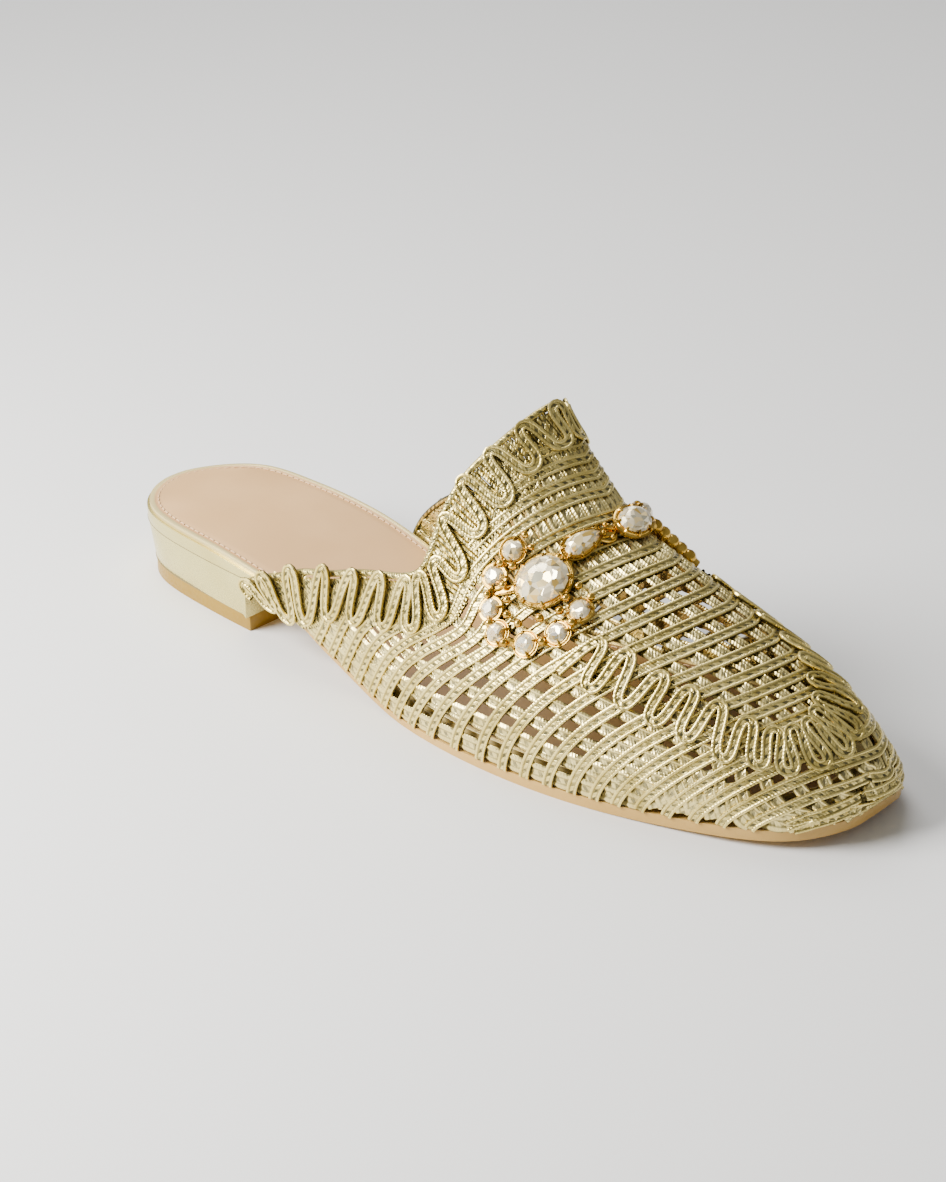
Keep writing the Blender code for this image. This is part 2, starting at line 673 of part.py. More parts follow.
def jewel_frame():
    """Ribbons and low cups joined into one body."""
    bm = bmesh.new()
    bar = [(16.4, 0.49), (16.0, 0.42), (15.55, 0.365), (15.85, 0.28), (16.15, 0.2), (16.05, 0.1), (15.95, 0.0)]
    bar += [(band, -share) for band, share in bar[-2::-1]]
    ribbon(bm, bar, BAR_WIDTH, SEAT + 0.15, SEAT + 1.05)
    bmesh.ops.recalc_face_normals(bm, faces=bm.faces)
    frame = add_object("jewel_frame", bm, gold_metal)
    parts = bpy.data.collections.new("jewel_frame_parts")
    shoe.children.link(parts)
    pieces = []
    for side in (1, -1):
        bm = bmesh.new()
        ribbon(bm, [(band, side * share) for band, share in HORSESHOE], BAR_WIDTH, SEAT, SEAT + 0.9)
        pieces.append(("horseshoe_%d" % side, bm))
    for name, place, long, short, height, kind in stone_set():
        bm = bmesh.new()
        small = kind == "round"
        points = outline(long, short, kind, BEZEL, 10 if small else 16)
        prism(bm, place, ((points, 0.45 if small else 0.75), (points, 1.5 if small else 2.0)))
        pieces.append(("cup_" + name, bm))
    for name, bm in pieces:
        bmesh.ops.recalc_face_normals(bm, faces=bm.faces)
        piece = add_object(name, bm, gold_metal)
        shoe.objects.unlink(piece)
        parts.objects.link(piece)
        piece.hide_render = True
        piece.display_type = "WIRE"
    join = frame.modifiers.new("join", "BOOLEAN")
    join.operation = "UNION"
    join.solver = "EXACT"
    join.operand_type = "COLLECTION"
    join.collection = parts


jewel_frame()
for name, place, long, short, height, kind in stone_set():
    small = kind == "round"
    count = 10 if small else 16
    low = (1.5 if small else 2.0) + SEAT
    bm = bmesh.new()
    prism(bm, place, (
        (outline(long, short, kind, -0.5, count), low),
        (outline(long, short, kind, 0.0, count), low + 0.25 * height),
        (outline(long * 0.55, short * 0.55, kind, 0.0, count), low + height * 0.75),
    ))
    bmesh.ops.recalc_face_normals(bm, faces=bm.faces)
    add_object(name, bm, crystal)


# ---------------------------------------------------------------- place on the floor
solids = [piece for piece in shoe.objects if piece.type == "MESH"]
points = [vertex.co for piece in solids for vertex in piece.data.vertices]
low = Vector([min(point[i] for point in points) for i in range(3)])
high = Vector([max(point[i] for point in points) for i in range(3)])
origin.location = (-(low.x + high.x) / 2.0, -(low.y + high.y) / 2.0, -low.z)
print("moved by %.2f, %.2f, %.2f mm" % tuple(value / MM for value in origin.location))
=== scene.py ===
# %% [markdown]
# # A woven gold mule, modelled piece by piece
# This lesson dresses one right-foot mule in Blender: a flat shoe without a back, woven from braided gold
# tape, with looped edging, a jewelled bit over the tongue, and a low block heel. A plain solid model of
# the same shoe is loaded first. Every piece made here sits where that model says.

# %% Load the solid model and keep its box
from math import atan2, cos, pi, radians, sin

import bmesh
import bpy
import numpy as np
from mathutils import Matrix, Vector


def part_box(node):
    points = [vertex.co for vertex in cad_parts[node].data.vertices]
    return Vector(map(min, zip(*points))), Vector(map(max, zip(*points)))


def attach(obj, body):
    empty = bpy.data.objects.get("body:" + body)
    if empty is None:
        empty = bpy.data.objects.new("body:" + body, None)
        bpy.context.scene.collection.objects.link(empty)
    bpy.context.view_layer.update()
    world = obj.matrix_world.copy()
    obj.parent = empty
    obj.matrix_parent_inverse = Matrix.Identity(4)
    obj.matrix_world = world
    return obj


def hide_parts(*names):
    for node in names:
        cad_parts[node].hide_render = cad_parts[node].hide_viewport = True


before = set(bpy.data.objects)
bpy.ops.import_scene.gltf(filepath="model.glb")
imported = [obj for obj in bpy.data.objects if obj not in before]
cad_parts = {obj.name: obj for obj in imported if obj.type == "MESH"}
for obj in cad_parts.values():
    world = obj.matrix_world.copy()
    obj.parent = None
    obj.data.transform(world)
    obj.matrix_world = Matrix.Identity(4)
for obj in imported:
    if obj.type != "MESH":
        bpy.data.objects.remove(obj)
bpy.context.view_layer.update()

# %% [markdown]
# ## The shoe's own sizes
# A shoemaker measures from the back of the heel and up from the floor, so the sizes below do the same,
# in millimetres. They are the sizes of the solid model. Where the heel's back lies in the model's own
# frame is found from the boxes of two solids, the outsole and the stone on the ridge, so nothing has to
# be placed by eye.

# %% Sizes in millimetres
MM = 0.001
LENGTH = 250.0            # outsole, heel to toe
HEEL_SEAT = 22.2          # insole above the floor at the heel
BALL_SEAT = 7.7           # insole above the floor at the ball of the foot
HEEL_TOP = 17.0
BREAST = 61.5             # front face of the heel
LIFT_THICK = 4.7
SOCK_THICK = 1.0
SOLE_THICK = 2.9
WAIST_THICK = 0.85
TOE_SPRING = 3.2          # how far the toe's front stands off the floor
SPRING_FROM = 185.0       # the toe turns up from here
ARCH = (50.0, 132.0)      # the sole comes down from heel to ball between these
WING_FOOT = (60.0, 95.0)  # the upper's wall moves in to the sole's edge between these
LEDGE = 1.9               # how far the wall of the upper stands out from the board
SEAT = 0.3                # gap between two pieces that meet
AXIS_X = -7.0             # the ridge of the upper, from the heel's axis
BAND_LEAN = 1.4           # how the bands bend forward towards the ridge
TOE_ROLL = (2.0, 17.0)    # width that the upper keeps at the toe, outer and inner side

sole_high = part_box("outsole")[1]
stone_low, stone_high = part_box("stone_centre")
SHIFT = Vector(((stone_low[0] + stone_high[0]) / 2 - AXIS_X * MM, sole_high[1] - LENGTH * MM, 0.0)) / MM
print("heel back at %.2f, %.2f mm" % (SHIFT.x, SHIFT.y))

# Half widths of the sole from the heel's axis: distance, outer side, inner side.
OUTLINE = (
    (4.0, 12.0, 13.6), (15.0, 21.2, 24.3), (35.0, 25.6, 26.5), (60.0, 27.6, 26.3), (85.0, 28.6, 25.9),
    (110.0, 31.6, 24.4), (135.0, 36.4, 27.1), (155.0, 38.2, 31.5), (175.0, 37.5, 36.0),
    (195.0, 34.2, 38.1), (215.0, 28.6, 36.2), (232.5, 22.1, 30.9), (243.75, 13.9, 25.2),
)
HEEL_BACK = (-1.0, 0.0)
TOE_FRONT = ((1.5, 249.6), (-7.5, LENGTH), (-17.5, 249.6))      # outer side, middle, inner side
TOE_MIDDLE = (AXIS_X, 215.0)      # the toe is rounded about this point

# The last, by numbered bands: band, outer foot, inner foot, crest, height, fullness outer and inner.
LAST = (
    (0, 241.0, 236.0, 254.0, 12.0, 2.9, 2.6), (2, 228.0, 223.0, 247.5, 22.3, 2.7, 2.1),
    (5, 208.0, 199.0, 235.5, 31.5, 2.5, 1.95), (8, 186.0, 175.0, 220.5, 38.2, 2.4, 1.8),
    (11, 165.0, 152.0, 200.0, 44.8, 2.4, 1.8), (14, 143.0, 130.0, 182.0, 51.0, 2.25, 1.85),
    (16, 129.5, 116.0, 170.5, 56.0, 2.05, 1.92), (18, 117.6, 105.0, 160.5, 65.0, 1.9, 2.0),
    (20, 105.5, 93.0, 151.0, 75.0, 1.85, 2.0), (23, 88.0, 75.0, 137.0, 88.0, 1.85, 2.0),
    (27, 62.0, 52.0, 112.0, 105.0, 1.85, 2.0),
)

# Where the wall ends, as share round the foot (0 ridge, 1 outer sole edge, -1 inner) and band.
TOPLINE = (
    (-1.0, 23.1), (-0.92, 22.85), (-0.85, 22.4), (-0.78, 21.7), (-0.73, 20.7), (-0.68, 19.8),
    (-0.63, 19.7), (-0.57, 20.1), (-0.45, 20.9), (-0.30, 21.2), (0.0, 21.5), (0.29, 21.2),
    (0.40, 20.9), (0.49, 20.2), (0.56, 19.5), (0.61, 19.3), (0.66, 19.8), (0.72, 21.0),
    (0.77, 22.0), (0.82, 23.0), (0.86, 24.0), (0.91, 25.0), (0.95, 26.0), (1.0, 26.9),
)

# %% [markdown]
# ## The last as a surface
# Everything woven lies on the last, the foot-shaped form that a shoe is made over. The last is written
# as a function: a band number says how far along the foot, and a share says how far round it. Short
# tables hold the few numbers a pattern cutter would note, and a smooth curve runs through them. Tapes
# can then be led over the shoe by naming bands and shares, as on the real one.

# %% Smooth curves and steps
def ease(low, high, value):
    """0 below low, 1 above high, smooth between."""
    t = np.clip((value - low) / (high - low), 0.0, 1.0)
    return t * t * (3.0 - 2.0 * t)


def spline(xs, ys):
    """Natural cubic through a short table, as a function."""
    xs, ys = np.asarray(xs, float), np.asarray(ys, float)
    count, step = len(xs), np.diff(xs)
    matrix, right = np.eye(count), np.zeros(count)
    for i in range(1, count - 1):
        matrix[i, i - 1:i + 2] = (step[i - 1], 2.0 * (step[i - 1] + step[i]), step[i])
        right[i] = 3.0 * ((ys[i + 1] - ys[i]) / step[i] - (ys[i] - ys[i - 1]) / step[i - 1])
    bend = np.linalg.solve(matrix, right)

    def value(x):
        i = np.clip(np.searchsorted(xs, x) - 1, 0, count - 2)
        d = x - xs[i]
        slope = (ys[i + 1] - ys[i]) / step[i] - step[i] * (2.0 * bend[i] + bend[i + 1]) / 3.0
        return ys[i] + slope * d + bend[i] * d ** 2 + (bend[i + 1] - bend[i]) / (3.0 * step[i]) * d ** 3

    return value


def run_along(points):
    """Distance from a line's start to each of its points."""
    return np.concatenate([[0.0], np.cumsum(np.linalg.norm(np.diff(points, axis=0), axis=1))])


# %% The sole's edge and its levels
def side_curve(side, samples=400):
    """The sole's edge on one side, from the heel's back to the middle of the toe."""
    points = [HEEL_BACK]
    points += [(side * (outer if side > 0 else inner), y) for y, outer, inner in OUTLINE]
    points += [TOE_FRONT[0] if side > 0 else TOE_FRONT[2], TOE_FRONT[1]]
    points = np.array(points)
    # A mirrored point beyond each end makes the curve cross the middle squarely.
    before = np.array([[2.0 * HEEL_BACK[0] - points[1, 0], points[1, 1]]])
    after = np.array([[2.0 * TOE_FRONT[1][0] - points[-2, 0], points[-2, 1]]])
    points = np.vstack([before, points, after])
    knots = np.concatenate([[0.0], np.cumsum(np.sqrt(np.linalg.norm(np.diff(points, axis=0), axis=1)))])
    along = np.linspace(knots[1], knots[-2], samples)
    return np.stack([spline(knots, points[:, i])(along) for i in (0, 1)], axis=1)


EDGE = {1: side_curve(1), -1: side_curve(-1)}


def moved_in(curve, side, inset):
    """An edge of the given side, moved in by `inset` mm."""
    tangent = np.gradient(curve, axis=0)
    tangent /= np.linalg.norm(tangent, axis=1)[:, None]
    outward = np.stack([tangent[:, 1], -tangent[:, 0]], axis=1) * side
    return curve - outward * np.broadcast_to(inset, len(curve))[:, None]


def half_width(y, side):
    """Place of the sole's edge across, at a distance from the heel's back."""
    curve = EDGE[side]
    rising = np.maximum.accumulate(curve[:, 1] + np.arange(len(curve)) * 1e-6)
    return np.interp(y, rising, curve[:, 0])


def shell_width(y, side):
    """The sole edge, but past the toe the upper keeps some width where it rolls over."""
    last = OUTLINE[-1][0]
    front = np.where(side > 0, TOE_ROLL[0], TOE_ROLL[1])
    near = np.minimum(y, last)
    width = np.where(side > 0, half_width(near, 1), -half_width(near, -1))
    along = np.clip((y - last) / (LENGTH - last), 0.0, 1.0)
    return side * (front + (width - front) * np.sqrt(1.0 - along ** 2))


# Heights above the floor, at a distance y from the heel's back.
def toe_lift(y):
    return TOE_SPRING * np.clip((y - SPRING_FROM) / (LENGTH - SPRING_FROM), 0.0, 1.0) ** 1.8


def underside(y):
    return HEEL_TOP * (1.0 - ease(*ARCH, y)) + toe_lift(y)


def sole_thickness(y):
    return WAIST_THICK + (SOLE_THICK - WAIST_THICK) * ease(70.0, 200.0, y)


def sole_top(y):
    return underside(y) + sole_thickness(y)


def board_bottom(y):
    return np.where(y < BREAST + 0.5, HEEL_TOP, sole_top(y)) + SEAT


def insole_top(y):
    return HEEL_SEAT - (HEEL_SEAT - BALL_SEAT) * ease(40.0, 150.0, y) + toe_lift(y)


def board_top(y):
    return insole_top(y) - SOCK_THICK - SEAT


def feather_level(y):
    """Foot of the upper's wall."""
    return underside(y) + SEAT + sole_thickness(y) * ease(62.0, 78.0, y)


# How far in from the sole's edge each piece stays, and how far out the wall of the upper stands.
def board_inset(y):
    return 0.2 + LEDGE * ease(*WING_FOOT, y) + 1.7 * ease(180.0, 245.0, y)


def sock_inset(y):
    return board_inset(y) + 0.8 + 6.0 * ease(205.0, 247.0, y)


def sole_inset(y):
    return 1.0 * (1.0 - ease(80.0, 97.0, y))


def wall_outset(y):
    return 0.4 + LEDGE * (1.0 - ease(*WING_FOOT, y))


# %% The wall of the upper
LAST_COLUMNS = [spline([row[0] for row in LAST], [row[i] for row in LAST]) for i in range(1, 7)]
TOP_LIMIT = spline([row[0] for row in TOPLINE], [row[1] for row in TOPLINE])


def wall(band, share):
    """Points of the upper's outer face, in mm, for arrays of band and share (band 0 and up)."""
    side = np.where(share >= 0, 1.0, -1.0)
    outer, inner, crest, height, full_o, full_i = (column(band) for column in LAST_COLUMNS)
    fullness = np.where(side > 0, full_o, full_i)
    foot = np.where(side > 0, outer, inner)
    angle = np.minimum(np.abs(share), 1.0) * pi / 2
    up = np.maximum(np.cos(angle), 0.0) ** (2.0 / fullness)
    out = np.maximum(np.sin(angle), 0.0) ** (2.0 / fullness)
    base = feather_level(foot)
    y = foot + (crest - foot) * up ** BAND_LEAN
    edge = shell_width(y, side) + side * wall_outset(y)
    return np.stack([AXIS_X + (edge - AXIS_X) * out, y, base + (height - base) * up], axis=-1)


def toe_front(share):
    """The sole edge round the toe, between the feet of band 0."""
    places = np.zeros((len(share), 2))
    for side, foot in ((1, LAST[0][1]), (-1, LAST[0][2])):
        curve = EDGE[side][EDGE[side][:, 1] >= foot][::-1]
        run = run_along(curve)
        along = np.minimum(np.abs(share), 1.0) * run[-1]
        mine = share >= 0 if side > 0 else share < 0
        for i in (0, 1):
            places[mine, i] = np.interp(along[mine], run, curve[:, i])
    ahead = places - np.array(TOE_MIDDLE)
    ahead /= np.linalg.norm(ahead, axis=1)[:, None]
    return np.column_stack([places + 0.4 * ahead, feather_level(places[:, 1])])


def shell(band, share):
    """As wall(), and below band 0 the wall that closes the toe down to the sole.

    A share a little beyond 1 runs on down over the edge of the outsole.
    """
    band, share = (np.atleast_1d(np.asarray(v, float)) for v in np.broadcast_arrays(band, share))
    mix = np.clip(-band, 0.0, 1.0)[:, None]
    places = wall(np.maximum(band, 0.0), share) * (1.0 - mix) + toe_front(share) * mix
    places[:, 2] -= 15.0 * sole_thickness(places[:, 1]) * np.maximum(np.abs(share) - 1.0, 0.0)
    return places


def shell_normal(band, share):
    """Outward direction of the wall."""
    band, share = (np.atleast_1d(np.asarray(v, float)) for v in np.broadcast_arrays(band, share))
    share = np.clip(share, -1.0, 1.0)
    around = shell(band, np.minimum(share + 0.02, 1.0)) - shell(band, np.maximum(share - 0.02, -1.0))
    along = shell(band - 0.1, share) - shell(band + 0.1, share)
    normal = np.cross(around, along)
    return normal / np.linalg.norm(normal, axis=1)[:, None]


print("tongue stands at", shell(21.0, 0.0)[0].round(1), "facing", shell_normal(21.0, 0.0)[0].round(2))

# %% [markdown]
# ## Putting a finished mesh on the shoe
# Each piece is one mesh object at the origin, with its place in its mesh. One helper turns a bmesh into
# such an object, points its faces outwards, shades it smooth where it is round, makes it ride on the
# shoe's one body, and hides the solid that it stands for.

# %% One helper for every piece
def piece(name, bm, material, stands_for=(), smooth=40.0):
    """Finish a bmesh, made in millimetres from the heel's back, as a piece of the shoe."""
    bmesh.ops.translate(bm, verts=bm.verts, vec=SHIFT)
    bmesh.ops.scale(bm, verts=bm.verts, vec=(MM, MM, MM))
    bmesh.ops.recalc_face_normals(bm, faces=bm.faces)
    mesh = bpy.data.meshes.new(name)
    bm.to_mesh(mesh)
    bm.free()
    mesh.materials.append(material)
    if smooth:
        mesh.shade_smooth()
        mesh.set_sharp_from_angle(angle=radians(smooth))
    made = bpy.data.objects.new(name, mesh)
    bpy.context.scene.collection.objects.link(made)
    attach(made, "root")
    if stands_for:
        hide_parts(*stands_for)
    triangles = sum(len(face.vertices) - 2 for face in mesh.polygons)
    print("%-16s %7d triangles" % (name, triangles))
    return made


# %% [markdown]
# ## Finishes
# A finish is built from nodes. Woven pieces carry an attribute named tape: how far along the tape a
# point is, how far across it, and how deep below its top, with any painted shadow added. The finish
# turns that depth into painted shade. The depth differs a little from tape to tape, so each has its
# own tone. Patterns that follow the tape, such as its plait, read that attribute.
# Leather grain and scuffs read Object coordinates. Small helpers keep the node code short: one makes a
# node and plugs in what it is given, one does a sum.

# %% Node helpers
class Finish:
    """A material and the few calls that wire its nodes."""

    def __init__(self, name, colour, roughness, metallic=0.0, **sockets):
        self.material = bpy.data.materials.new(name)
        self.material.use_nodes = True
        self.tree = self.material.node_tree
        self.shader = self.tree.nodes["Principled BSDF"]
        self.shader.inputs["Base Color"].default_value = (*colour, 1.0)
        self.shader.inputs["Roughness"].default_value = roughness
        self.shader.inputs["Metallic"].default_value = metallic
        for socket, value in sockets.items():
            self.shader.inputs[socket.replace("_", " ")].default_value = value

    def node(self, kind, out=0, fields=(), **inputs):
        """A node with its inputs set or linked; returns one of its outputs."""
        made = self.tree.nodes.new(kind)
        for field, value in dict(fields).items():
            setattr(made, field, value)
        for key, value in inputs.items():
            socket = made.inputs[int(key[1:])] if key[0] == "i" and key[1:].isdigit() else made.inputs[key]
            if isinstance(value, bpy.types.NodeSocket):
                self.tree.links.new(value, socket)
            else:
                socket.default_value = value
        return made.outputs[out]

    def sum(self, operation, *values):
        return self.node("ShaderNodeMath", fields={"operation": operation},
                         **{"i%d" % i: value for i, value in enumerate(values)})

    def ramp(self, factor, low, high, start=0.0, end=1.0):
        """A value from 0 to 1, stretched smoothly between two levels."""
        return self.node("ShaderNodeMapRange", fields={"interpolation_type": "SMOOTHSTEP"},
                         Value=factor, **{"i1": low, "i2": high, "i3": start, "i4": end})

    def vector(self, operation, first, second=(0.0, 0.0, 0.0), out=0):
        return self.node("ShaderNodeVectorMath", out=out, fields={"operation": operation},
                         i0=first, i1=second)

    def mix(self, factor, first, second):
        """Two colours mixed; each is a socket or three numbers."""
        first, second = ((*c, 1.0) if isinstance(c, tuple) else c for c in (first, second))
        return self.node("ShaderNodeMix", out=2, fields={"data_type": "RGBA"},
                         **{"i0": factor, "i6": first, "i7": second})

    def place(self):
        """Object coordinates."""
        return self.node("ShaderNodeTexCoord", out=3)

    def noise(self, scale, detail=3.0):
        return self.node("ShaderNodeTexNoise", Vector=self.place(), Scale=scale, Detail=detail)

    def cloud(self, scale, detail=3.0):
        """Soft patches, from 0 to 1."""
        return self.ramp(self.noise(scale, detail), 0.35, 0.7)

    def bump(self, height, distance, strength=1.0):
        return self.node("ShaderNodeBump", Height=height, Distance=distance, Strength=strength)

    def attribute(self, name, out=2):
        return self.node("ShaderNodeAttribute", out=out, fields={"attribute_name": name})

    def tape(self):
        """The parts of the tape attribute: along, across, deep."""
        split = self.tree.nodes.new("ShaderNodeSeparateXYZ")
        self.tree.links.new(self.attribute("tape", 1), split.inputs[0])
        return split.outputs

    def plug(self, socket, source):
        self.tree.links.new(source, self.shader.inputs[socket])


# %% [markdown]
# ### Braided gold tape
# The tape is plaited from thin strips of gold foil. Its two edges are smooth cords that catch the
# light, and its middle is a row of small stitches with dark gaps between them. The stitches repeat
# every 2.6 mm, so the gaps are the low parts of a wave along the tape, kept to the middle of it. Noise
# shifts the wave and fades some of the gaps, as no hand-plaited tape is quite even. Shade is painted
# on too: the sides and underside of each tape, a thin groove line inside each edge cord, and the
# places where a warp lies beside a band are darkened towards olive.

# %% Gold tape finish
STITCH = 2.6              # mm from stitch to stitch in the middle of a tape
STRAND = 0.9              # mm from strand to strand of the foil


def tape_finish(name, light, warm, grey, shade_colour, half):
    """Gold tape whose stitched middle reaches `half` mm from its centre line."""
    made = Finish(name, light, 0.3, 0.88)
    along, across, deep = made.tape()
    reach = made.sum("ABSOLUTE", across)
    drift = made.noise(200.0, 2.0)
    slant = made.sum("MULTIPLY", across, 0.9)
    turn = made.sum("ADD", made.sum("MULTIPLY", made.sum("ADD", along, slant), 2 * pi / STITCH),
                    made.sum("MULTIPLY", drift, 3.0))
    dash = made.ramp(made.sum("MULTIPLY", made.sum("COSINE", turn), -1.0), -0.1, 0.5)
    dash = made.sum("MULTIPLY", dash, made.ramp(reach, 0.52, 0.28))
    dash = made.sum("MULTIPLY", dash, made.ramp(made.noise(420.0), 0.38, 0.52, 0.55, 1.0))
    seam = made.ramp(made.sum("ABSOLUTE", made.sum("SUBTRACT", reach, half)), 0.26, 0.04)
    strand = made.sum("SINE", made.sum("ADD", made.sum("MULTIPLY", along, 2 * pi / STRAND),
                                       made.sum("MULTIPLY", across, 4.0)))
    patch = made.ramp(made.noise(120.0, 3.0), 0.42, 0.70)
    base = made.mix(made.sum("MULTIPLY", patch, 0.55), light, warm)
    base = made.mix(made.ramp(strand, 0.3, 1.0, 0.0, 0.18), base, warm)
    # painted shade: a thin dark groove line where each edge cord meets the middle
    base = made.mix(made.sum("MULTIPLY", seam, 0.5), base, shade_colour)
    base = made.mix(made.sum("MULTIPLY", dash, 0.9), base, grey)
    # painted shade: the deep parts of a tape, its sides and underside, and the painted shadow on a warp go
    # towards the shade colour
    made.plug("Base Color", made.mix(made.ramp(deep, 0.28, 0.70, 0.0, 0.95), base, shade_colour))
    made.plug("Roughness", made.ramp(made.noise(500.0), 0.3, 0.7, 0.22, 0.40))
    height = made.sum("SUBTRACT", made.sum("MULTIPLY", strand, 0.2), made.sum("MULTIPLY", dash, 0.9))
    made.plug("Normal", made.bump(height, 0.00010))
    return made.material


STITCH_GREY = (0.055, 0.055, 0.035)
# olive of the painted shade in a tape's grooves, sides and underside
PAINTED_SHADE_OLIVE = (0.06, 0.042, 0.006)
band_gold = tape_finish("band_gold", (0.90, 0.74, 0.27), (0.48, 0.36, 0.07), STITCH_GREY, PAINTED_SHADE_OLIVE, 0.6)
warp_gold = tape_finish("warp_gold", (0.90, 0.75, 0.31), (0.44, 0.33, 0.08), (0.24, 0.21, 0.11), PAINTED_SHADE_OLIVE, 0.6)
loop_gold = tape_finish("loop_gold", (0.90, 0.74, 0.26), (0.48, 0.35, 0.06), STITCH_GREY, PAINTED_SHADE_OLIVE, 0.5)

# %% [markdown]
# ### Leathers and rubber
# The heel and the board are covered in metallic leather with a fine grain. The sock is a soft beige
# leather. The lift and the outsole are a tan composition, smooth at the edge. All of them have a grain
# of small cells and soft patches of a second tone.

# %% Leather and rubber finishes
def leather_finish(name, colour, shade, roughness, metallic, grain, depth):
    """colour goes over to shade in patches. grain is its fineness, and depth its depth in m."""
    made = Finish(name, colour, roughness, metallic)
    cells = made.node("ShaderNodeTexVoronoi", Vector=made.place(), Scale=grain)
    pores = made.cloud(grain * 1.4, 2.0)
    made.plug("Base Color", made.mix(made.sum("MULTIPLY", made.cloud(45.0, 4.0), 0.55), colour, shade))
    made.plug("Roughness", made.ramp(pores, 0.0, 1.0, roughness - 0.07, roughness + 0.07))
    made.plug("Normal", made.bump(made.sum("ADD", cells, made.sum("MULTIPLY", pores, 0.5)), depth, 0.6))
    return made.material


gold_leather = leather_finish("gold_leather", (0.68, 0.60, 0.24), (0.60, 0.51, 0.18), 0.26, 0.75,
                              1400.0, 0.00003)
stitch_thread = leather_finish("stitch_thread", (0.70, 0.47, 0.26), (0.64, 0.40, 0.21), 0.7, 0.0,
                               2500.0, 0.00005)
tan_rubber = leather_finish("tan_rubber", (0.29, 0.165, 0.0), (0.24, 0.13, 0.0), 0.42, 0.0,
                            700.0, 0.00005)
outsole_tan = leather_finish("outsole_tan", (0.56, 0.34, 0.085), (0.50, 0.29, 0.06), 0.42, 0.0,
                             900.0, 0.00005)
# dark rods round the heel: painted shade in the board's groove, and a dark line at the lift's joint
seam_and_shade_dark = leather_finish("seam_and_shade_dark", (0.17, 0.125, 0.035), (0.12, 0.085, 0.02), 0.6, 0.0,
                           900.0, 0.00003)

# %% [markdown]
# ### Sock and board
# Two leathers change along the shoe, so each of their points carries how far it is in a second tone. The
# sock is gilded on its rim, outside the stitches, and painted a darker brown under the vamp as painted
# shade, where the weave overhead keeps the light off. The board is wrapped in gold at the heel, where
# it shows, and left plain and dull in front of it.

# %% Leather of the sock and of the board
SOCK_LIGHT, SOCK_SHADE = (0.58, 0.34, 0.135), (0.54, 0.31, 0.115)
SOCK_PAINTED_SHADE, SOCK_RIM = (0.23, 0.12, 0.03), (0.72, 0.58, 0.25)
sock_finish = Finish("sock_leather", SOCK_LIGHT, 0.55)
rim = sock_finish.ramp(sock_finish.attribute("rim"), 0.9, 1.5)
sock_tone = sock_finish.mix(sock_finish.cloud(40.0, 4.0), SOCK_LIGHT, SOCK_SHADE)
# painted shade: the sock goes to a dark brown under the vamp, read from the attribute inside
sock_tone = sock_finish.mix(sock_finish.attribute("inside"), sock_tone, SOCK_PAINTED_SHADE)
sock_finish.plug("Base Color", sock_finish.mix(rim, sock_tone, SOCK_RIM))
sock_finish.plug("Metallic", sock_finish.sum("MULTIPLY", rim, 0.5))
sock_finish.plug("Roughness", sock_finish.ramp(rim, 0.0, 1.0, 0.55, 0.34))
sock_finish.plug("Normal", sock_finish.bump(sock_finish.noise(1500.0, 2.0), 0.00004, 0.6))
sock_leather = sock_finish.material

BOARD_GOLD, BOARD_SHADE, BOARD_PLAIN = (0.70, 0.61, 0.24), (0.62, 0.52, 0.18), (0.27, 0.205, 0.07)
board_finish = Finish("board_leather", BOARD_GOLD, 0.22, 0.8)
rim = board_finish.attribute("rim")
board_tone = board_finish.mix(board_finish.cloud(45.0, 4.0), BOARD_GOLD, BOARD_SHADE)
board_finish.plug("Base Color", board_finish.mix(rim, BOARD_PLAIN, board_tone))
board_finish.plug("Metallic", board_finish.sum("MULTIPLY", rim, 0.8))
board_finish.plug("Roughness", board_finish.ramp(rim, 0.0, 1.0, 0.7, 0.22))
board_leather = board_finish.material

# %% [markdown]
# ### Gilt metal and crystal
# The settings are gilt brass, with painted shade at the foot of each cup and on the sides and
# underside of each wire. The stones are backed with foil, so their facets work like small mirrors of
# different tone. A cut stone also shows the far facets through the near ones. Small cells inside stand
# for these: each tilts the reflection its own way and has its own painted reflection as a tone, from
# nearly white over champagne to a few dark ones.

# %% Metal and crystal finishes
GILT_LIGHT, GILT_WARM, GILT_PAINTED_SHADE = (0.76, 0.49, 0.095), (0.42, 0.235, 0.025), (0.13, 0.06, 0.008)
gilt = Finish("gilt", GILT_LIGHT, 0.2, 1.0)
gilt_base = gilt.mix(gilt.cloud(250.0), GILT_LIGHT, GILT_WARM)
# painted shade: the foot of a cup and the deep sides of a wire go dark
gilt.plug("Base Color", gilt.mix(gilt.ramp(gilt.tape()[2], 0.25, 0.9, 0.0, 0.92), gilt_base, GILT_PAINTED_SHADE))
gilt.plug("Roughness", gilt.ramp(gilt.noise(700.0), 0.3, 0.7, 0.14, 0.3))
gilt.plug("Normal", gilt.bump(gilt.noise(900.0, 2.0), 0.0001, 0.5))
gold_metal = gilt.material

stone = Finish("crystal", (0.93, 0.90, 0.82), 0.06, 0.5, Coat_Weight=0.6, Coat_Roughness=0.03)
cell = stone.node("ShaderNodeTexVoronoi", out=1, Vector=stone.place(), Scale=430.0)
lean = stone.vector("MULTIPLY", stone.vector("SUBTRACT", cell, (0.5, 0.5, 0.5)), (0.9, 0.9, 0.9))
lean = stone.vector("ADD", lean, stone.node("ShaderNodeNewGeometry", out=1))
spread = stone.sum("ADD", stone.vector("DOT_PRODUCT", cell, (0.0, 0.6, 0.0), out=1),
                   stone.sum("MULTIPLY", stone.attribute("facet"), 0.4))
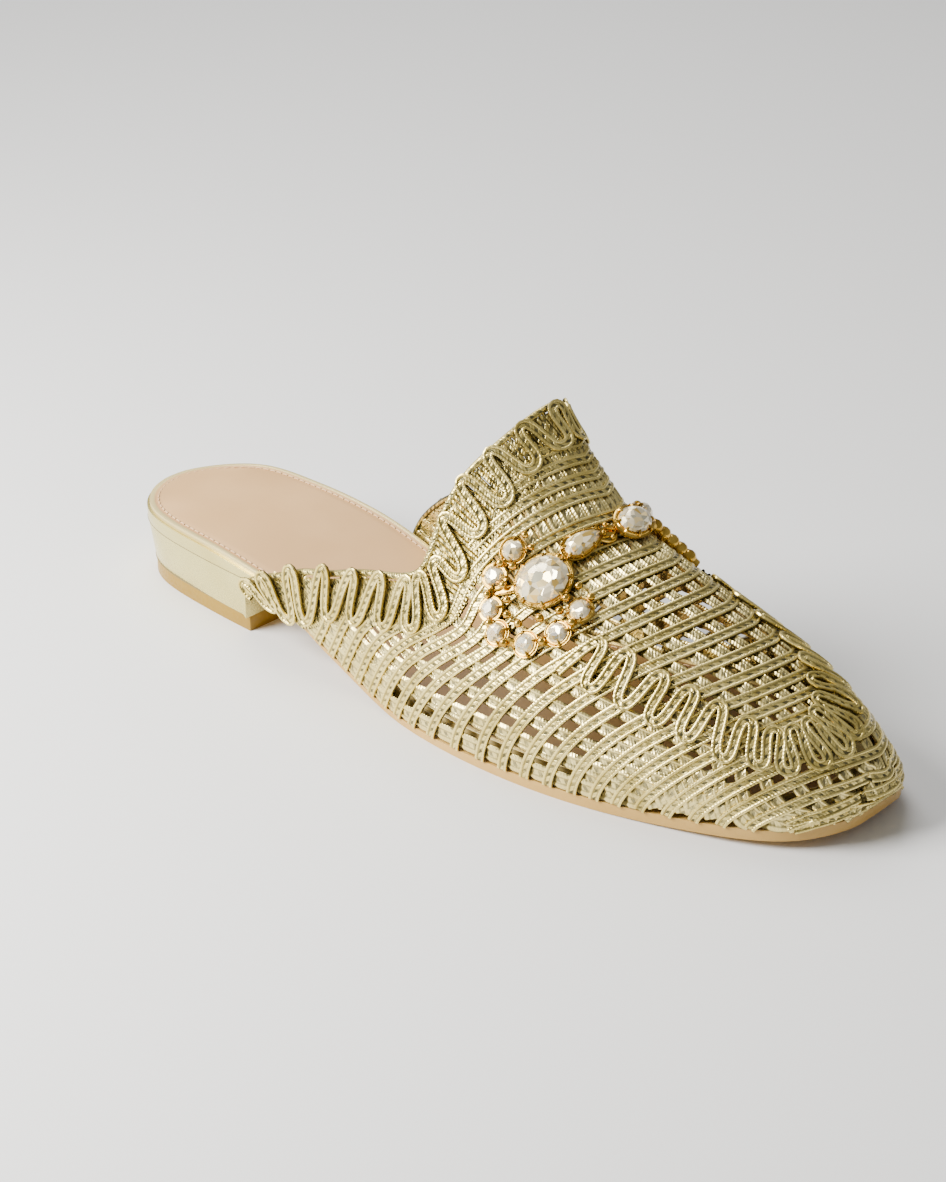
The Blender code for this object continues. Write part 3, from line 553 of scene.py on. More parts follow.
# painted reflections: each cell is tinted as a foil-backed facet would reflect, nearly white, champagne,
# grey or dark
tone = (1.0, 0.87, 0.58)
for start, colour in ((0.52, (0.97, 0.76, 0.36)), (0.66, (0.70, 0.66, 0.46)), (0.74, (0.26, 0.21, 0.11)),
                      (0.78, (0.92, 0.60, 0.14))):
    tone = stone.mix(stone.sum("GREATER_THAN", spread, start), tone, colour)
stone.plug("Base Color", tone)
stone.plug("Normal", stone.vector("NORMALIZE", lean))
stone.plug("Roughness", stone.ramp(stone.noise(300.0), 0.3, 0.7, 0.08, 0.2))
crystal = stone.material
print("finishes:", len(bpy.data.materials))

# %% [markdown]
# ## Soles
# Flat pieces of a shoe are cut to the same outline, each a little smaller than the one below. A grid is
# stretched between the two edges of the sole, extruded to its thickness, and its rims are bevelled, as
# the real edges are rounded off by sanding and by the leather that is folded over them.

# %% A slab between the sole's edges
def slab(y_from, y_to, inset, bottom, top, rim, columns=(0.0, 0.1, 0.3, 0.5, 0.7, 0.9, 1.0), rows=90):
    """A bmesh slab that follows the sole's outline, with rounded rims.

    inset, bottom and top are functions of y. columns are the places across, from outer to inner edge.
    """
    lines = {}
    for side in (1, -1):
        ys = EDGE[side][:, 1]
        moved = moved_in(EDGE[side], side, inset(ys))[(ys >= y_from - 1e-6) & (ys <= y_to + 1e-6)]
        if y_from > 0.0:
            moved[0] = np.interp(y_from, moved[:, 1], moved[:, 0]), y_from
        if y_to < LENGTH:
            moved[-1] = np.interp(y_to, moved[:, 1], moved[:, 0]), y_to
        lines[side] = moved
    for at, closed in ((0, y_from <= 0.0), (-1, y_to >= LENGTH)):
        if closed:
            lines[1][at] = lines[-1][at] = (lines[1][at] + lines[-1][at]) / 2.0
    spots = np.linspace(0.0, 1.0, rows)
    bm = bmesh.new()
    grid = bmesh.ops.create_grid(bm, x_segments=len(columns) - 1, y_segments=rows - 1, size=1.0)["verts"]
    for vert in grid:
        share = columns[round((vert.co.x + 1.0) / 2.0 * (len(columns) - 1))]
        at = spots[round((vert.co.y + 1.0) / 2.0 * (rows - 1))]
        sides = [[np.interp(at * (len(line) - 1), np.arange(len(line)), line[:, i]) for i in (0, 1)]
                 for line in (lines[1], lines[-1])]
        x, y = (1.0 - share) * np.array(sides[0]) + share * np.array(sides[1])
        vert.co = (x, y, float(bottom(y)))
    bmesh.ops.remove_doubles(bm, verts=bm.verts, dist=0.01)
    lifted = bmesh.ops.extrude_face_region(bm, geom=bm.faces[:])["geom"]
    for vert in (v for v in lifted if isinstance(v, bmesh.types.BMVert)):
        vert.co.z = float(top(vert.co.y))
    bmesh.ops.recalc_face_normals(bm, faces=bm.faces)
    rims = [e for e in bm.edges if len(e.link_faces) == 2 and e.calc_face_angle() > radians(50)]
    bmesh.ops.bevel(bm, geom=rims, offset=rim, affect="EDGES", segments=3, profile=0.5, material=-1,
                    clamp_overlap=True)
    return bm


# %% [markdown]
# ### Heel, lift, outsole and board
# The heel is a low block, a little narrower at its base than at the seat, wrapped in gold leather. The
# tan lift below it takes the wear. The outsole runs from the breast of the heel to the toe and thins at
# the waist. The board is wrapped in the same gold leather and shows as a rim round the heel.

# %% Heel, lift, outsole and board
HEEL_INSET = 0.35         # from the sole's edge to the heel, at its top
HEEL_TAPER = 1.75         # how much further in it stands at its base
HEEL_MIDDLE = 32.0        # the heel tapers towards this point of its axis
LIFT_INSET = 2.2
GILT_FADE = (66.0, 90.0)  # the gold of the board ends between these


def level(value):
    return lambda y: value


heel = slab(0.0, BREAST, level(HEEL_INSET), level(LIFT_THICK + 0.12), level(HEEL_TOP + 0.1), 0.8)
for vert in heel.verts:
    sink = HEEL_TAPER * (1.0 - (vert.co.z - LIFT_THICK) / (HEEL_TOP - LIFT_THICK))
    inward = Vector((0.0, HEEL_MIDDLE, vert.co.z)) - vert.co
    if inward.length > 5.0 and vert.co.y < BREAST - 1.0:
        vert.co += inward.normalized() * sink
piece("heel_cover", heel, gold_leather, ["heel_block"], 35)

lift = slab(0.0, BREAST - 0.4, level(LIFT_INSET), level(0.0), level(LIFT_THICK), 0.35)
piece("heel_lift", lift, tan_rubber, ["top_lift"], 35)

outsole = slab(BREAST + 0.4, LENGTH, lambda y: sole_inset(y) - 0.05, underside, sole_top, 0.28, rows=110)
piece("outsole_edge", outsole, outsole_tan, ["outsole"], 35)

board = slab(0.0, LENGTH, board_inset, lambda y: board_bottom(y) - 0.15, board_top, 1.6, rows=110)
gilded = board.verts.layers.float.new("rim")
for vert in board.verts:
    vert[gilded] = float(1.0 - ease(*GILT_FADE, vert.co.y))
piece("board_wrap", board, board_leather, ["insole_board"], 35)

# %% [markdown]
# ### Sock
# The sock is the beige leather that the foot rests on. A row of fine stitches runs near its edge and
# pulls the leather down into a soft trough, which fades out at the heel's back. The trough is made in
# the mesh, with extra columns near each edge. Each point also gets the two values that the sock's finish
# reads: how far it is outside the stitches, and how far under the vamp, which sets its painted shade.

# %% Sock with its trough
TROUGH = 2.6              # mm from the sock's edge to its row of stitches
TROUGH_DEPTH = 0.34
TROUGH_REACH = 1.3        # half of its width
TROUGH_FADE = (3.0, 14.0)
# painted shade of the sock under the vamp grows between these
VAMP_SHADE = (108.0, 138.0)       # the sock turns browner between these
sock_columns = (0.0, 0.012, 0.026, 0.042, 0.056, 0.072, 0.1, 0.3, 0.5)
sock_columns += tuple(1.0 - c for c in sock_columns[-2::-1])
sock = slab(0.0, LENGTH, sock_inset, board_top, insole_top, 0.5, sock_columns, 130)
sock_edge = {}
for side in (1, -1):
    sock_edge[side] = moved_in(EDGE[side], side, sock_inset(EDGE[side][:, 1]) + TROUGH)
trough_line = np.vstack([sock_edge[1], sock_edge[-1][::-1]])
sole_edge = np.vstack([EDGE[1], EDGE[-1]])
rim_layer = sock.verts.layers.float.new("rim")
vamp_shade_layer = sock.verts.layers.float.new("inside")
for vert in sock.verts:
    if vert.co.z > insole_top(vert.co.y) - 0.35:
        away = np.min(np.hypot(trough_line[:, 0] - vert.co.x, trough_line[:, 1] - vert.co.y))
        pull = TROUGH_DEPTH * float(ease(*TROUGH_FADE, vert.co.y))
        vert.co.z -= pull * max(0.0, 1.0 - (away / TROUGH_REACH) ** 2)
    inward = np.min(np.hypot(sole_edge[:, 0] - vert.co.x, sole_edge[:, 1] - vert.co.y))
    vert[rim_layer] = float(sock_inset(vert.co.y)) + TROUGH - inward
    # painted shade: how far the point is under the vamp
    vert[vamp_shade_layer] = float(ease(*VAMP_SHADE, vert.co.y))
piece("sock", sock, sock_leather, ["insole"], 35)

# %% [markdown]
# ## Laying tape
# A tape is a long flat strip with a section of its own: two round cords at its edges and a lower middle.
# Blender could sweep a section along a curve object, but a curve twists freely, and a woven tape has to
# lie flat on the shoe. So a grid is made with one row for each step along and one column for each point
# of the section. Its points are then put in place from the path and the wall's outward direction. The
# long seam is merged and the ends are closed. Every tape starts at its own place in the pattern and has
# its own tone, drawn from a seeded generator, so each run gives the same shoe.

# %% A tape along a path
def tape_section(width, thick, cord):
    """Closed section of a tape: two edge cords, `cord` wide, and a lower middle, as (across, up)."""
    half, low, high = width / 2.0, -thick / 2.0, thick / 2.0
    right = [(0.0, high - 0.25), (half - cord, high - 0.30), (half - 0.75 * cord, high - 0.06),
             (half - 0.45 * cord, high), (half - 0.12 * cord, high - 0.12), (half, 0.0),
             (half - 0.2 * cord, low + 0.1), (half - cord, low)]
    return right + [(-s, t) for s, t in right[:0:-1]] + right[:1]


def rod_section(radius, sides=6):
    """Closed round section."""
    turn = [2.0 * pi * i / sides for i in range(sides + 1)]
    return [(radius * cos(a), radius * sin(a)) for a in turn]


random_tone = np.random.default_rng(7)
TONE_SPREAD = 0.12        # how much darker the darkest tape is, on the scale of its depth
# painted shade: a tape's back is darkened only a little
BACK_TONE = 0.1           # a tape's back is nearly as bright as its top


def lay(bm, points, normals, section, rise=0.0, widen=1.0, dip=0.0, shade=0.0):
    """Sweep a section along points on the wall. rise, widen and shade may vary along the path.

    dip is how deep the gaps between the stitches of the middle go, in mm. shade is painted shadow that
    darkens the tape.
    """
    points, normals = np.asarray(points, float), np.asarray(normals, float)
    count = len(points)
    tangent = np.gradient(points, axis=0)
    tangent /= np.linalg.norm(tangent, axis=1)[:, None]
    across = np.cross(normals, tangent)
    across /= np.linalg.norm(across, axis=1)[:, None]
    up = np.cross(tangent, across)
    section = np.asarray(section, float)
    widen = np.broadcast_to(widen, count)[:, None, None]
    rise = np.broadcast_to(rise, count)[:, None, None]
    rings = (points[:, None] + across[:, None] * section[None, :, :1] * widen
             + up[:, None] * (section[None, :, 1:] + rise))
    run = run_along(points)
    shift, tone = random_tone.uniform(0.0, 5.0), random_tone.uniform(0.0, 1.0)
    if dip:
        gap = 0.5 - 0.5 * np.cos(2.0 * pi * (run + shift) / STITCH)
        rings[:, (0, 1, -2, -1)] -= up[:, None] * (dip * gap)[:, None, None]
    # painted shade: the depth below the tape's top, plus its random tone and any painted shadow, darkens it
    # in the finish
    deep = (section[:, 1].max() - section[:, 1]) / np.ptp(section[:, 1])
    deep = np.where(deep > 0.97, BACK_TONE, deep) + TONE_SPREAD * tone
    shade = np.broadcast_to(shade, count)
    layer = bm.verts.layers.float_vector.get("tape") or bm.verts.layers.float_vector.new("tape")
    grid = bmesh.ops.create_grid(bm, x_segments=count - 1, y_segments=len(section) - 1, size=1.0)["verts"]
    seam, ends = [], set()
    for vert in grid:
        i = round((vert.co.x + 1.0) / 2.0 * (count - 1))
        j = round((vert.co.y + 1.0) / 2.0 * (len(section) - 1))
        vert.co = rings[i, j]
        vert[layer] = (run[i] + shift, section[j, 0], deep[j] + shade[i])
        if j in (0, len(section) - 1):
            seam.append(vert)
        if i in (0, count - 1):
            ends.add(vert)
    caps = [e for v in ends for e in v.link_edges if e.other_vert(v) in ends and len(e.link_faces) == 1]
    bmesh.ops.remove_doubles(bm, verts=seam, dist=1e-5)
    bmesh.ops.holes_fill(bm, edges=[e for e in set(caps) if e.is_valid], sides=0)


def even(path, step):
    """Resample a path of (band, share) to steps of about `step` mm over the wall."""
    path = np.asarray(path, float)
    run = run_along(shell(*path.T))
    at = np.linspace(0.0, run[-1], max(int(round(run[-1] / step)), 2) + 1)
    return np.column_stack([np.interp(at, run, path[:, i]) for i in (0, 1)])


def lay_on_wall(bm, path, section, rise, step=1.2, widen=1.0, dip=0.0, shade=0.0):
    """Lay a tape along a path of (band, share). rise, widen and shade may be functions of the path."""
    path = even(path, step)
    rise, widen, shade = (value(path) if callable(value) else value for value in (rise, widen, shade))
    lay(bm, shell(*path.T), shell_normal(*path.T), section, rise, widen, dip, shade)


def runs(mask):
    """Start and end of each unbroken run of true values."""
    edges = np.flatnonzero(np.diff(np.concatenate([[0], np.asarray(mask, int), [0]])))
    return list(zip(edges[::2], edges[1::2]))


# %% [markdown]
# ### Stitches and seams
# A stitch is a short thread that comes up, lies flat and goes down again, so each is a thin rod laid in
# the trough along a low arch. The row ends under the vamp, where no eye reaches. Two thin dark rods
# run round the heel: the upper one is painted shade in the groove between board and heel, and the
# lower one is a dark line at the joint between heel and lift.

# %% Stitches of the sock
STITCH_PITCH = 2.4
STITCH_LENGTH = 1.7
LAST_STITCH = 215.0       # mm from the heel's back

stitches = bmesh.new()
run = run_along(trough_line)
for start in np.arange(0.5, run[-1] - 1.8, STITCH_PITCH):
    at = start + np.linspace(0.0, STITCH_LENGTH, 5)
    x, y = (np.interp(at, run, trough_line[:, i]) for i in (0, 1))
    if y.max() > LAST_STITCH:
        continue
    arch = 0.16 * np.sin(np.linspace(0.0, pi, 5)) - 0.22
    lay(stitches, np.column_stack([x, y, insole_top(y) + arch]), np.tile((0.0, 0.0, 1.0), (5, 1)),
        rod_section(0.2))
piece("sock_stitches", stitches, stitch_thread)

# %% Seam lines and painted shade round the heel
# height and inset of the dark rods: painted shade under the board, and a dark line at the lift's joint
HEEL_SEAM_SHADES = ((HEEL_TOP + 0.2, 0.45), (LIFT_THICK + 0.06, 2.15))      # height, inset

seam_shades = bmesh.new()
for height, inset in HEEL_SEAM_SHADES:
    sides = [moved_in(EDGE[side][EDGE[side][:, 1] <= BREAST - 1.0], side, inset) for side in (1, -1)]
    line = np.vstack([sides[0][::-1], sides[1][1:]])
    lay(seam_shades, np.column_stack([line, np.full(len(line), height)]),
        np.tile((0.0, 0.0, 1.0), (len(line), 1)), rod_section(0.3))
piece("heel_seam_shades", seam_shades, seam_and_shade_dark)

# %% [markdown]
# ## Woven upper
# Tapes run across the foot as bands, and more tapes run from toe to heel under them as warps. The bands
# keep an even spacing over the toe and the vamp. From the throat back they close up, because the wall
# turns round the corner between tongue and wing, and those that reach the looped edging pass under it.

# %% Where each band runs
BAND_WIDTH = 3.0
BAND_THICK = 1.15
WARP_WIDTH = 3.4
WARP_THICK = 0.95
FIRST_FREE = 13.0         # bands beyond this one close up towards the throat
TONGUE_FREE = 17.6        # on the tongue they close up only beyond this one
WARP_PITCH = 0.085        # share of the way round from warp to warp
TAPE_DIP = 0.2            # depth of the gaps between a tape's stitches

# How far a band lies ahead of its number, from the ridge down to the sole. Each row is the share of the
# way down, then the value at the toe and the heel end, and the value at the ball of the foot.
BAND_DRIFT = ((0.0, -0.40, -0.40), (0.3, -0.15, -0.15), (0.6, 0.05, 0.12), (0.75, 0.09, 0.08),
              (0.88, 0.12, -0.12), (1.0, 0.20, -0.42))
# How close the bands lie, against their usual spacing. Each row is the share of the way down, then the
# value beyond FIRST_FREE and the value beyond TONGUE_FREE.
CLOSE_UP = ((0.0, 1.0, 0.7), (0.45, 1.0, 0.7), (0.55, 0.88, 0.74), (0.61, 0.77, 0.77),
            (0.70, 0.81, 0.81), (0.83, 0.95, 0.95), (0.95, 0.98, 0.98), (1.0, 1.0, 1.0))
# Inner border of the looped edging, as share and band.
LOOP_BORDER = ((-1.0, 21.0), (-0.95, 20.9), (-0.90, 20.3), (-0.85, 19.6), (-0.80, 18.8), (-0.72, 17.9),
               (-0.64, 17.7), (-0.58, 17.9), (-0.49, 18.4), (-0.37, 19.1), (-0.25, 19.6), (-0.1, 19.9),
               (0.1, 19.85), (0.2, 19.65), (0.32, 19.15), (0.42, 18.7), (0.50, 18.0), (0.56, 17.6),
               (0.61, 17.2), (0.66, 17.1), (0.72, 17.6), (0.78, 18.7), (0.84, 20.2), (0.89, 21.5),
               (0.95, 22.7), (1.0, 23.8))


def table_value(table, column, at):
    return spline([row[0] for row in table], [row[column] for row in table])(at)


def band_place(number, share):
    """Band coordinate of the centre line of one numbered band."""
    share = np.asarray(share, float)
    reach = np.abs(share)
    ball = ease(4.5, 8.5, number) * (1.0 - ease(11.5, 15.0, number))
    drift, ball_drift = (table_value(BAND_DRIFT, column, reach) for column in (1, 2))
    along = number + (1.0 - ball) * drift + ball * ball_drift
    near = table_value(CLOSE_UP, 1, reach)
    far = table_value(CLOSE_UP, 2, reach)
    closing = (np.clip(along, FIRST_FREE, TONGUE_FREE) - FIRST_FREE) * near
    closing += np.maximum(along - TONGUE_FREE, 0.0) * far
    return np.minimum(along, FIRST_FREE) + closing


def loop_border(share):
    return table_value(LOOP_BORDER, 1, share)


# %% Lay the bands
band_section = tape_section(BAND_WIDTH, BAND_THICK, 1.0)
BAND_RISE = -0.25         # middle of a band below the wall's outer face
BAND_STEP = STITCH / 4.0
bands = bmesh.new()
shares = np.linspace(-1.0, 1.0, 243)
band_paths = []
for number in range(1, 26):
    places = band_place(number, shares)
    for start, stop in runs(places < loop_border(shares) + 0.25):
        if stop - start >= 9:
            band_paths.append(np.column_stack([places, shares])[start:stop])
for front in (0.15, -0.55):       # two more close the toe in front of the first band
    band_paths.append(np.column_stack([np.full(97, front), np.linspace(-0.97, 0.97, 97)]))
for path in band_paths:
    lay_on_wall(bands, path, band_section, BAND_RISE, BAND_STEP, dip=TAPE_DIP)
print("bands laid:", len(band_paths))
piece("woven_bands", bands, band_gold, ["upper"], 50)

# %% [markdown]
# ### Warps
# A warp goes under every band and comes up in each gap. Its height is tied to the bands it meets: it
# rises at once on the heel side of a band, and later on the toe side, where it lies in the band's shade.
# A painted shadow darkens it beside each band, most of all on the toe side.
# Over the toe the warps spread towards the sole, and the outer ones run out under it. They are wider
# near the sole. A second set lies between the first where the weave is closed: towards the throat, and
# low on the sides of the toe.

# %% Lay the warps
half, high, low = WARP_WIDTH / 2.0, WARP_THICK / 2.0, -WARP_THICK / 2.0
warp_section = [(0.0, high - 0.2), (half - 1.15, high - 0.28), (half - 0.6, high), (half, 0.0),
                (half - 0.3, low), (0.0, low), (0.3 - half, low), (-half, 0.0), (0.6 - half, high),
                (1.15 - half, high - 0.28), (0.0, high - 0.2)]
warps = bmesh.new()


def warp_spread(band):
    """How far the warps fan out at the toe."""
    return 1.0 + 0.75 * (1.0 - ease(0.5, 5.5, band))


def band_distance(path):
    """How far a point of a warp is from the middle of the nearest band, in bands, minus towards the toe."""
    away = path[:, :1] - np.stack([band_place(n, path[:, 1]) for n in range(0, 26)], 1)
    return away[np.arange(len(away)), np.argmin(np.abs(away), 1)]


def warp_rise(path):
    """Deep under a band, up in the gaps."""
    away = band_distance(path)
    return -0.66 + 0.32 * np.where(away > 0.0, ease(0.10, 0.30, away), ease(0.20, 0.42, -away))


def warp_painted_shadow(path):
    """Painted shadow beside a band, strongest on its toe side, and weaker where the weave is closed."""
    away = band_distance(path)
    shade = np.where(away > 0.0, 0.12, 0.6) * (1.0 - ease(0.27, 0.36, np.abs(away)))
    return shade * (1.0 - 0.6 * ease(13.5, 16.5, path[:, 0]))


def warp_widen(path):
    return 1.0 + 0.4 * ease(0.78, 0.92, np.abs(path[:, 1]))


def warp_start(share):
    """The closed part of the weave, where a second set of warps fills the gaps, starts here."""
    return 13.4 + 3.4 * ease(0.42, 0.58, np.abs(share))


warp_count = 0
for place in range(-24, 25):      # even places hold the first set, odd places the second
    base = 0.0175 + WARP_PITCH * place / 2.0
    base += 0.022 * base * abs(base)
    band = np.linspace(-1.0, 27.0, 561)
    share = base * warp_spread(band)
    reach = np.clip(share, -1.0, 1.0)
    keep = (np.abs(share) < 0.985) & (band < TOP_LIMIT(reach) - 0.15)
    if place % 2:
        keep &= (band > warp_start(reach)) | ((band < 8.0) & (np.abs(share) > 0.80 - 0.02 * band))
    for start, stop in runs(keep):
        if stop - start > 16:
            lay_on_wall(warps, np.column_stack([band, share])[start:stop], warp_section, warp_rise, 0.6,
                        warp_widen, shade=warp_painted_shadow)
            warp_count += 1
print("warps laid:", warp_count)
piece("woven_warps", warps, warp_gold, (), 50)

# %% [markdown]
# ### Under the looped edging
# Between the last open band and the topline the weave is closed by thin cords that lie side by side
# and run up to the edge, like the rungs of a ladder seen through the loops. One round cord finishes
# the edge itself.

# %% Ladder cords and edge cord
LADDER_PITCH = 1.25
edge_shares = np.linspace(-1.0, 1.0, 401)
border, limit = loop_border(edge_shares), TOP_LIMIT(edge_shares)
run = run_along(shell((border + limit) / 2.0, edge_shares))
ladder = bmesh.new()
for at in np.arange(0.6, run[-1] - 0.5, LADDER_PITCH):
    share = float(np.interp(at, run, edge_shares))
    low, high = float(loop_border(share)) - 0.5, float(TOP_LIMIT(share))
    lean = 0.02 * (1.0 if share > 0 else -1.0) if 0.05 < abs(share) < 0.93 else 0.0
    path = np.column_stack([np.linspace(low, high, 9), np.linspace(share - lean, share + lean, 9)])
    lay_on_wall(ladder, path, rod_section(0.55), -0.35, 1.4)
lay_on_wall(ladder, np.column_stack([limit, edge_shares]), rod_section(0.95, 8), -0.3, 1.2)
piece("ladder_cords", ladder, loop_gold, (), 50)

# %% [markdown]
# ## Looped edging
# One narrow tape winds in and out along the topline in long hairpin turns, and another in a U over the
# vamp. Each turn is named by its band and share. A curve through the turns would be pointed, so two
# shoulder points are added beside each turn, a little apart along the row, and the legs run between.

# %% Hairpin path through turns
def hairpins(turns, outside, inside, pull=0.13):
    """A smooth path of (band, share) through turns that lie alternately outside and inside."""
    turns = np.array(turns, float)
    path = [turns[0]]
    for i in range(1, len(turns) - 1):
        here = turns[i]
        low, high = turns[max(i - 2, i % 2)], turns[min(i + 2, len(turns) - 1 - (len(turns) - 1 - i) % 2)]
        reach = np.linalg.norm(shell(*high)[0] - shell(*low)[0])
        step = (high - low) * (outside if i % 2 else inside) / max(reach, 1e-6)
        back = (turns[i - 1] + turns[i + 1]) / 2.0 - here
        path += [here + back * pull - step, here, here + back * pull + step]
    path.append(turns[-1])
    path = np.array(path)
    gaps = np.linalg.norm(np.diff(shell(*path.T), axis=0), axis=1)
    knots = np.concatenate([[0.0], np.cumsum(np.sqrt(np.maximum(gaps, 1e-6)))])
    fine = np.linspace(0.0, knots[-1], len(path) * 12)
    smooth = np.column_stack([spline(knots, path[:, i])(fine) for i in (0, 1)])
    smooth[:, 1] = np.clip(smooth[:, 1], -1.0, 1.0)
    return smooth


# %% Turns of the topline edging, as band and share, outside and inside by turns
TOP_TURNS = (
    (22.3, -1.0),
    (22.95, -0.93), (21.2, -0.99), (22.5, -0.86), (20.9, -0.95), (21.8, -0.795), (20.2, -0.895),
    (20.9, -0.74), (19.3, -0.835), (20.05, -0.69), (18.4, -0.775), (19.75, -0.65), (17.85, -0.70),
    (19.8, -0.605), (17.95, -0.615), (20.05, -0.55), (18.15, -0.53), (20.45, -0.475), (18.75, -0.425),
    (20.95, -0.385), (19.25, -0.32), (21.2, -0.285), (19.7, -0.205), (21.35, -0.145), (19.85, -0.065),
    (21.4, 0.015), (19.8, 0.065), (21.3, 0.17), (19.65, 0.20), (21.15, 0.285), (19.15, 0.315),
    (20.9, 0.385), (18.8, 0.415), (20.15, 0.475), (17.9, 0.52), (19.05, 0.555), (17.15, 0.635),
    (19.05, 0.605), (17.7, 0.725), (19.35, 0.64), (18.9, 0.785), (20.4, 0.69), (20.35, 0.845),
    (21.6, 0.745), (21.7, 0.895), (23.0, 0.80), (22.9, 0.96), (24.5, 0.865), (23.9, 1.0),
    (25.7, 0.925), (24.9, 1.0), (26.5, 0.97), (26.0, 1.0),
)
LOOP_WIDTH = 2.8
LOOP_THICK = 1.25
loop_section = tape_section(LOOP_WIDTH, LOOP_THICK, 0.95)
LOOP_STEP = STITCH / 4.0


def edging_rise(path):
    """The loops lie on the bands inside and stand up a little at the topline."""
    band, share = path.T
    out = np.clip((band - loop_border(share)) / (TOP_LIMIT(share) - loop_border(share)), 0.0, 1.1)
    return 0.80 + 0.9 * out ** 2


edging = bmesh.new()
lay_on_wall(edging, hairpins(TOP_TURNS, 1.5, 2.1), loop_section, edging_rise, LOOP_STEP, dip=TAPE_DIP)
piece("topline_loops", edging, loop_gold, ["topline_trim"], 50)

# %% Turns of the U on the vamp, from the outer side of the foot to the inner, inside and outside by turns
VAMP_TURNS = (
    (11.75, 0.59), (11.85, 0.42), (10.45, 0.59), (10.8, 0.405), (9.15, 0.59), (9.35, 0.415),
    (7.85, 0.60), (8.25, 0.41), (6.5, 0.605), (7.1, 0.405), (4.7, 0.625), (5.75, 0.40),
    (3.55, 0.58), (4.75, 0.37), (2.6, 0.53), (4.5, 0.31), (2.2, 0.385), (4.45, 0.235),
    (2.2, 0.20), (4.75, 0.17), (2.65, 0.06), (5.25, 0.105), (3.65, -0.07), (6.2, 0.045),
    (4.85, -0.14), (7.25, -0.015), (6.2, -0.18), (8.4, -0.07), (7.5, -0.225), (9.6, -0.12),
    (8.8, -0.28), (10.7, -0.17), (10.1, -0.335), (11.7, -0.235), (11.4, -0.40), (12.1, -0.31),
)


def vamp_widen(path):
    """Round the toe the inner turns crowd each other, so the tape is gathered narrower there."""
    band, share = path.T
    fan = ease(3.2, 4.3, band) * (1.0 - ease(6.0, 7.5, band)) * ease(-0.06, 0.02, share)
    return 1.0 - 0.28 * fan * (1.0 - ease(0.34, 0.42, share))


vamp = bmesh.new()
lay_on_wall(vamp, hairpins(VAMP_TURNS, 1.5, 1.7), loop_section, 0.85, LOOP_STEP, vamp_widen,
            dip=TAPE_DIP)
piece("vamp_loops", vamp, loop_gold, ["vamp_trim"], 50)

# %% [markdown]
# ## Jewelled bit
# A chain of stones crosses the tongue: a round-oval stone on the ridge, a pear on each side, then a
# large oval inside a horseshoe of small round stones. Each stone sits in a gilt cup, held by claws.
# Small gold beads fill the ring, and leaf-shaped wires link the pears to the middle. Down the inner side
# a thicker beaded chain runs beside the stones.

# %% Places of the stones
# name, band, share, long, short, height, turn in degrees, outline
STONES = (
    ("stone_centre", 15.95, 0.0, 10.5, 8.0, 3.2, 90.0, "oval"),
    ("stone_pear", 16.15, 0.2, 10.2, 6.8, 3.0, 90.0, "pear"),
    ("stone_oval", 15.55, 0.365, 13.8, 12.8, 4.0, 70.0, "oval"),
    ("stone_round_1", 17.4, 0.375, 5.4, 5.4, 2.4, 0.0, "round"),
    ("stone_round_2", 16.95, 0.455, 5.4, 5.4, 2.4, 0.0, "round"),
    ("stone_round_3", 15.85, 0.525, 5.4, 5.4, 2.4, 0.0, "round"),
    ("stone_round_4", 14.75, 0.575, 5.4, 5.4, 2.4, 0.0, "round"),
    ("stone_round_5", 13.55, 0.56, 5.4, 5.4, 2.4, 0.0, "round"),
    ("stone_round_6", 13.15, 0.475, 5.4, 5.4, 2.4, 0.0, "round"),
    ("stone_round_7", 13.5, 0.37, 5.4, 5.4, 2.4, 0.0, "round"),
)


def seat(band, share, turn):
    """Centre and axes of a stone: x along its length, z off the wall."""
    normal = Vector(shell_normal(band, share)[0])
    along = Vector(shell(band - 0.3, share)[0] - shell(band + 0.3, share)[0])
    along = (along - normal * along.dot(normal)).normalized()
    across = normal.cross(along)
    spin = radians(turn) * (-1.0 if share < 0 else 1.0)
    axis = along * cos(spin) + across * sin(spin)
    return Vector(shell(band, share)[0]), axis, normal.cross(axis), normal


def rim_point(long, short, kind, grow, angle):
    """A point of a stone's outline, `grow` mm outside it."""
    x, y = cos(angle) * (long / 2.0 + grow), sin(angle) * (short / 2.0 + grow)
    if kind == "pear":
        y *= 1.0 - 0.42 * (1.0 + cos(angle)) / 2.0
    return x, y


def put(place, x, y, z):
    """From a stone's own axes to the shoe's."""
    centre, x_axis, y_axis, z_axis = place
    return centre + x_axis * x + y_axis * y + z_axis * z


stones = []
for name, band, share, long, short, height, turn, kind in STONES:
    for side in ((1,) if share == 0 else (1, -1)):
        label = name if share == 0 else name + ("_outer" if side > 0 else "_inner")
        stones.append((label, seat(band, side * share, turn), long, short, height, kind))
print("stones:", len(stones))


# %% Cups, by extruding a disc ring by ring
def add_to(bm, part):
    """Add one bmesh to another."""
    mesh = bpy.data.meshes.new("part")
    part.to_mesh(mesh)
    part.free()
    bm.from_mesh(mesh)
    bpy.data.meshes.remove(mesh)


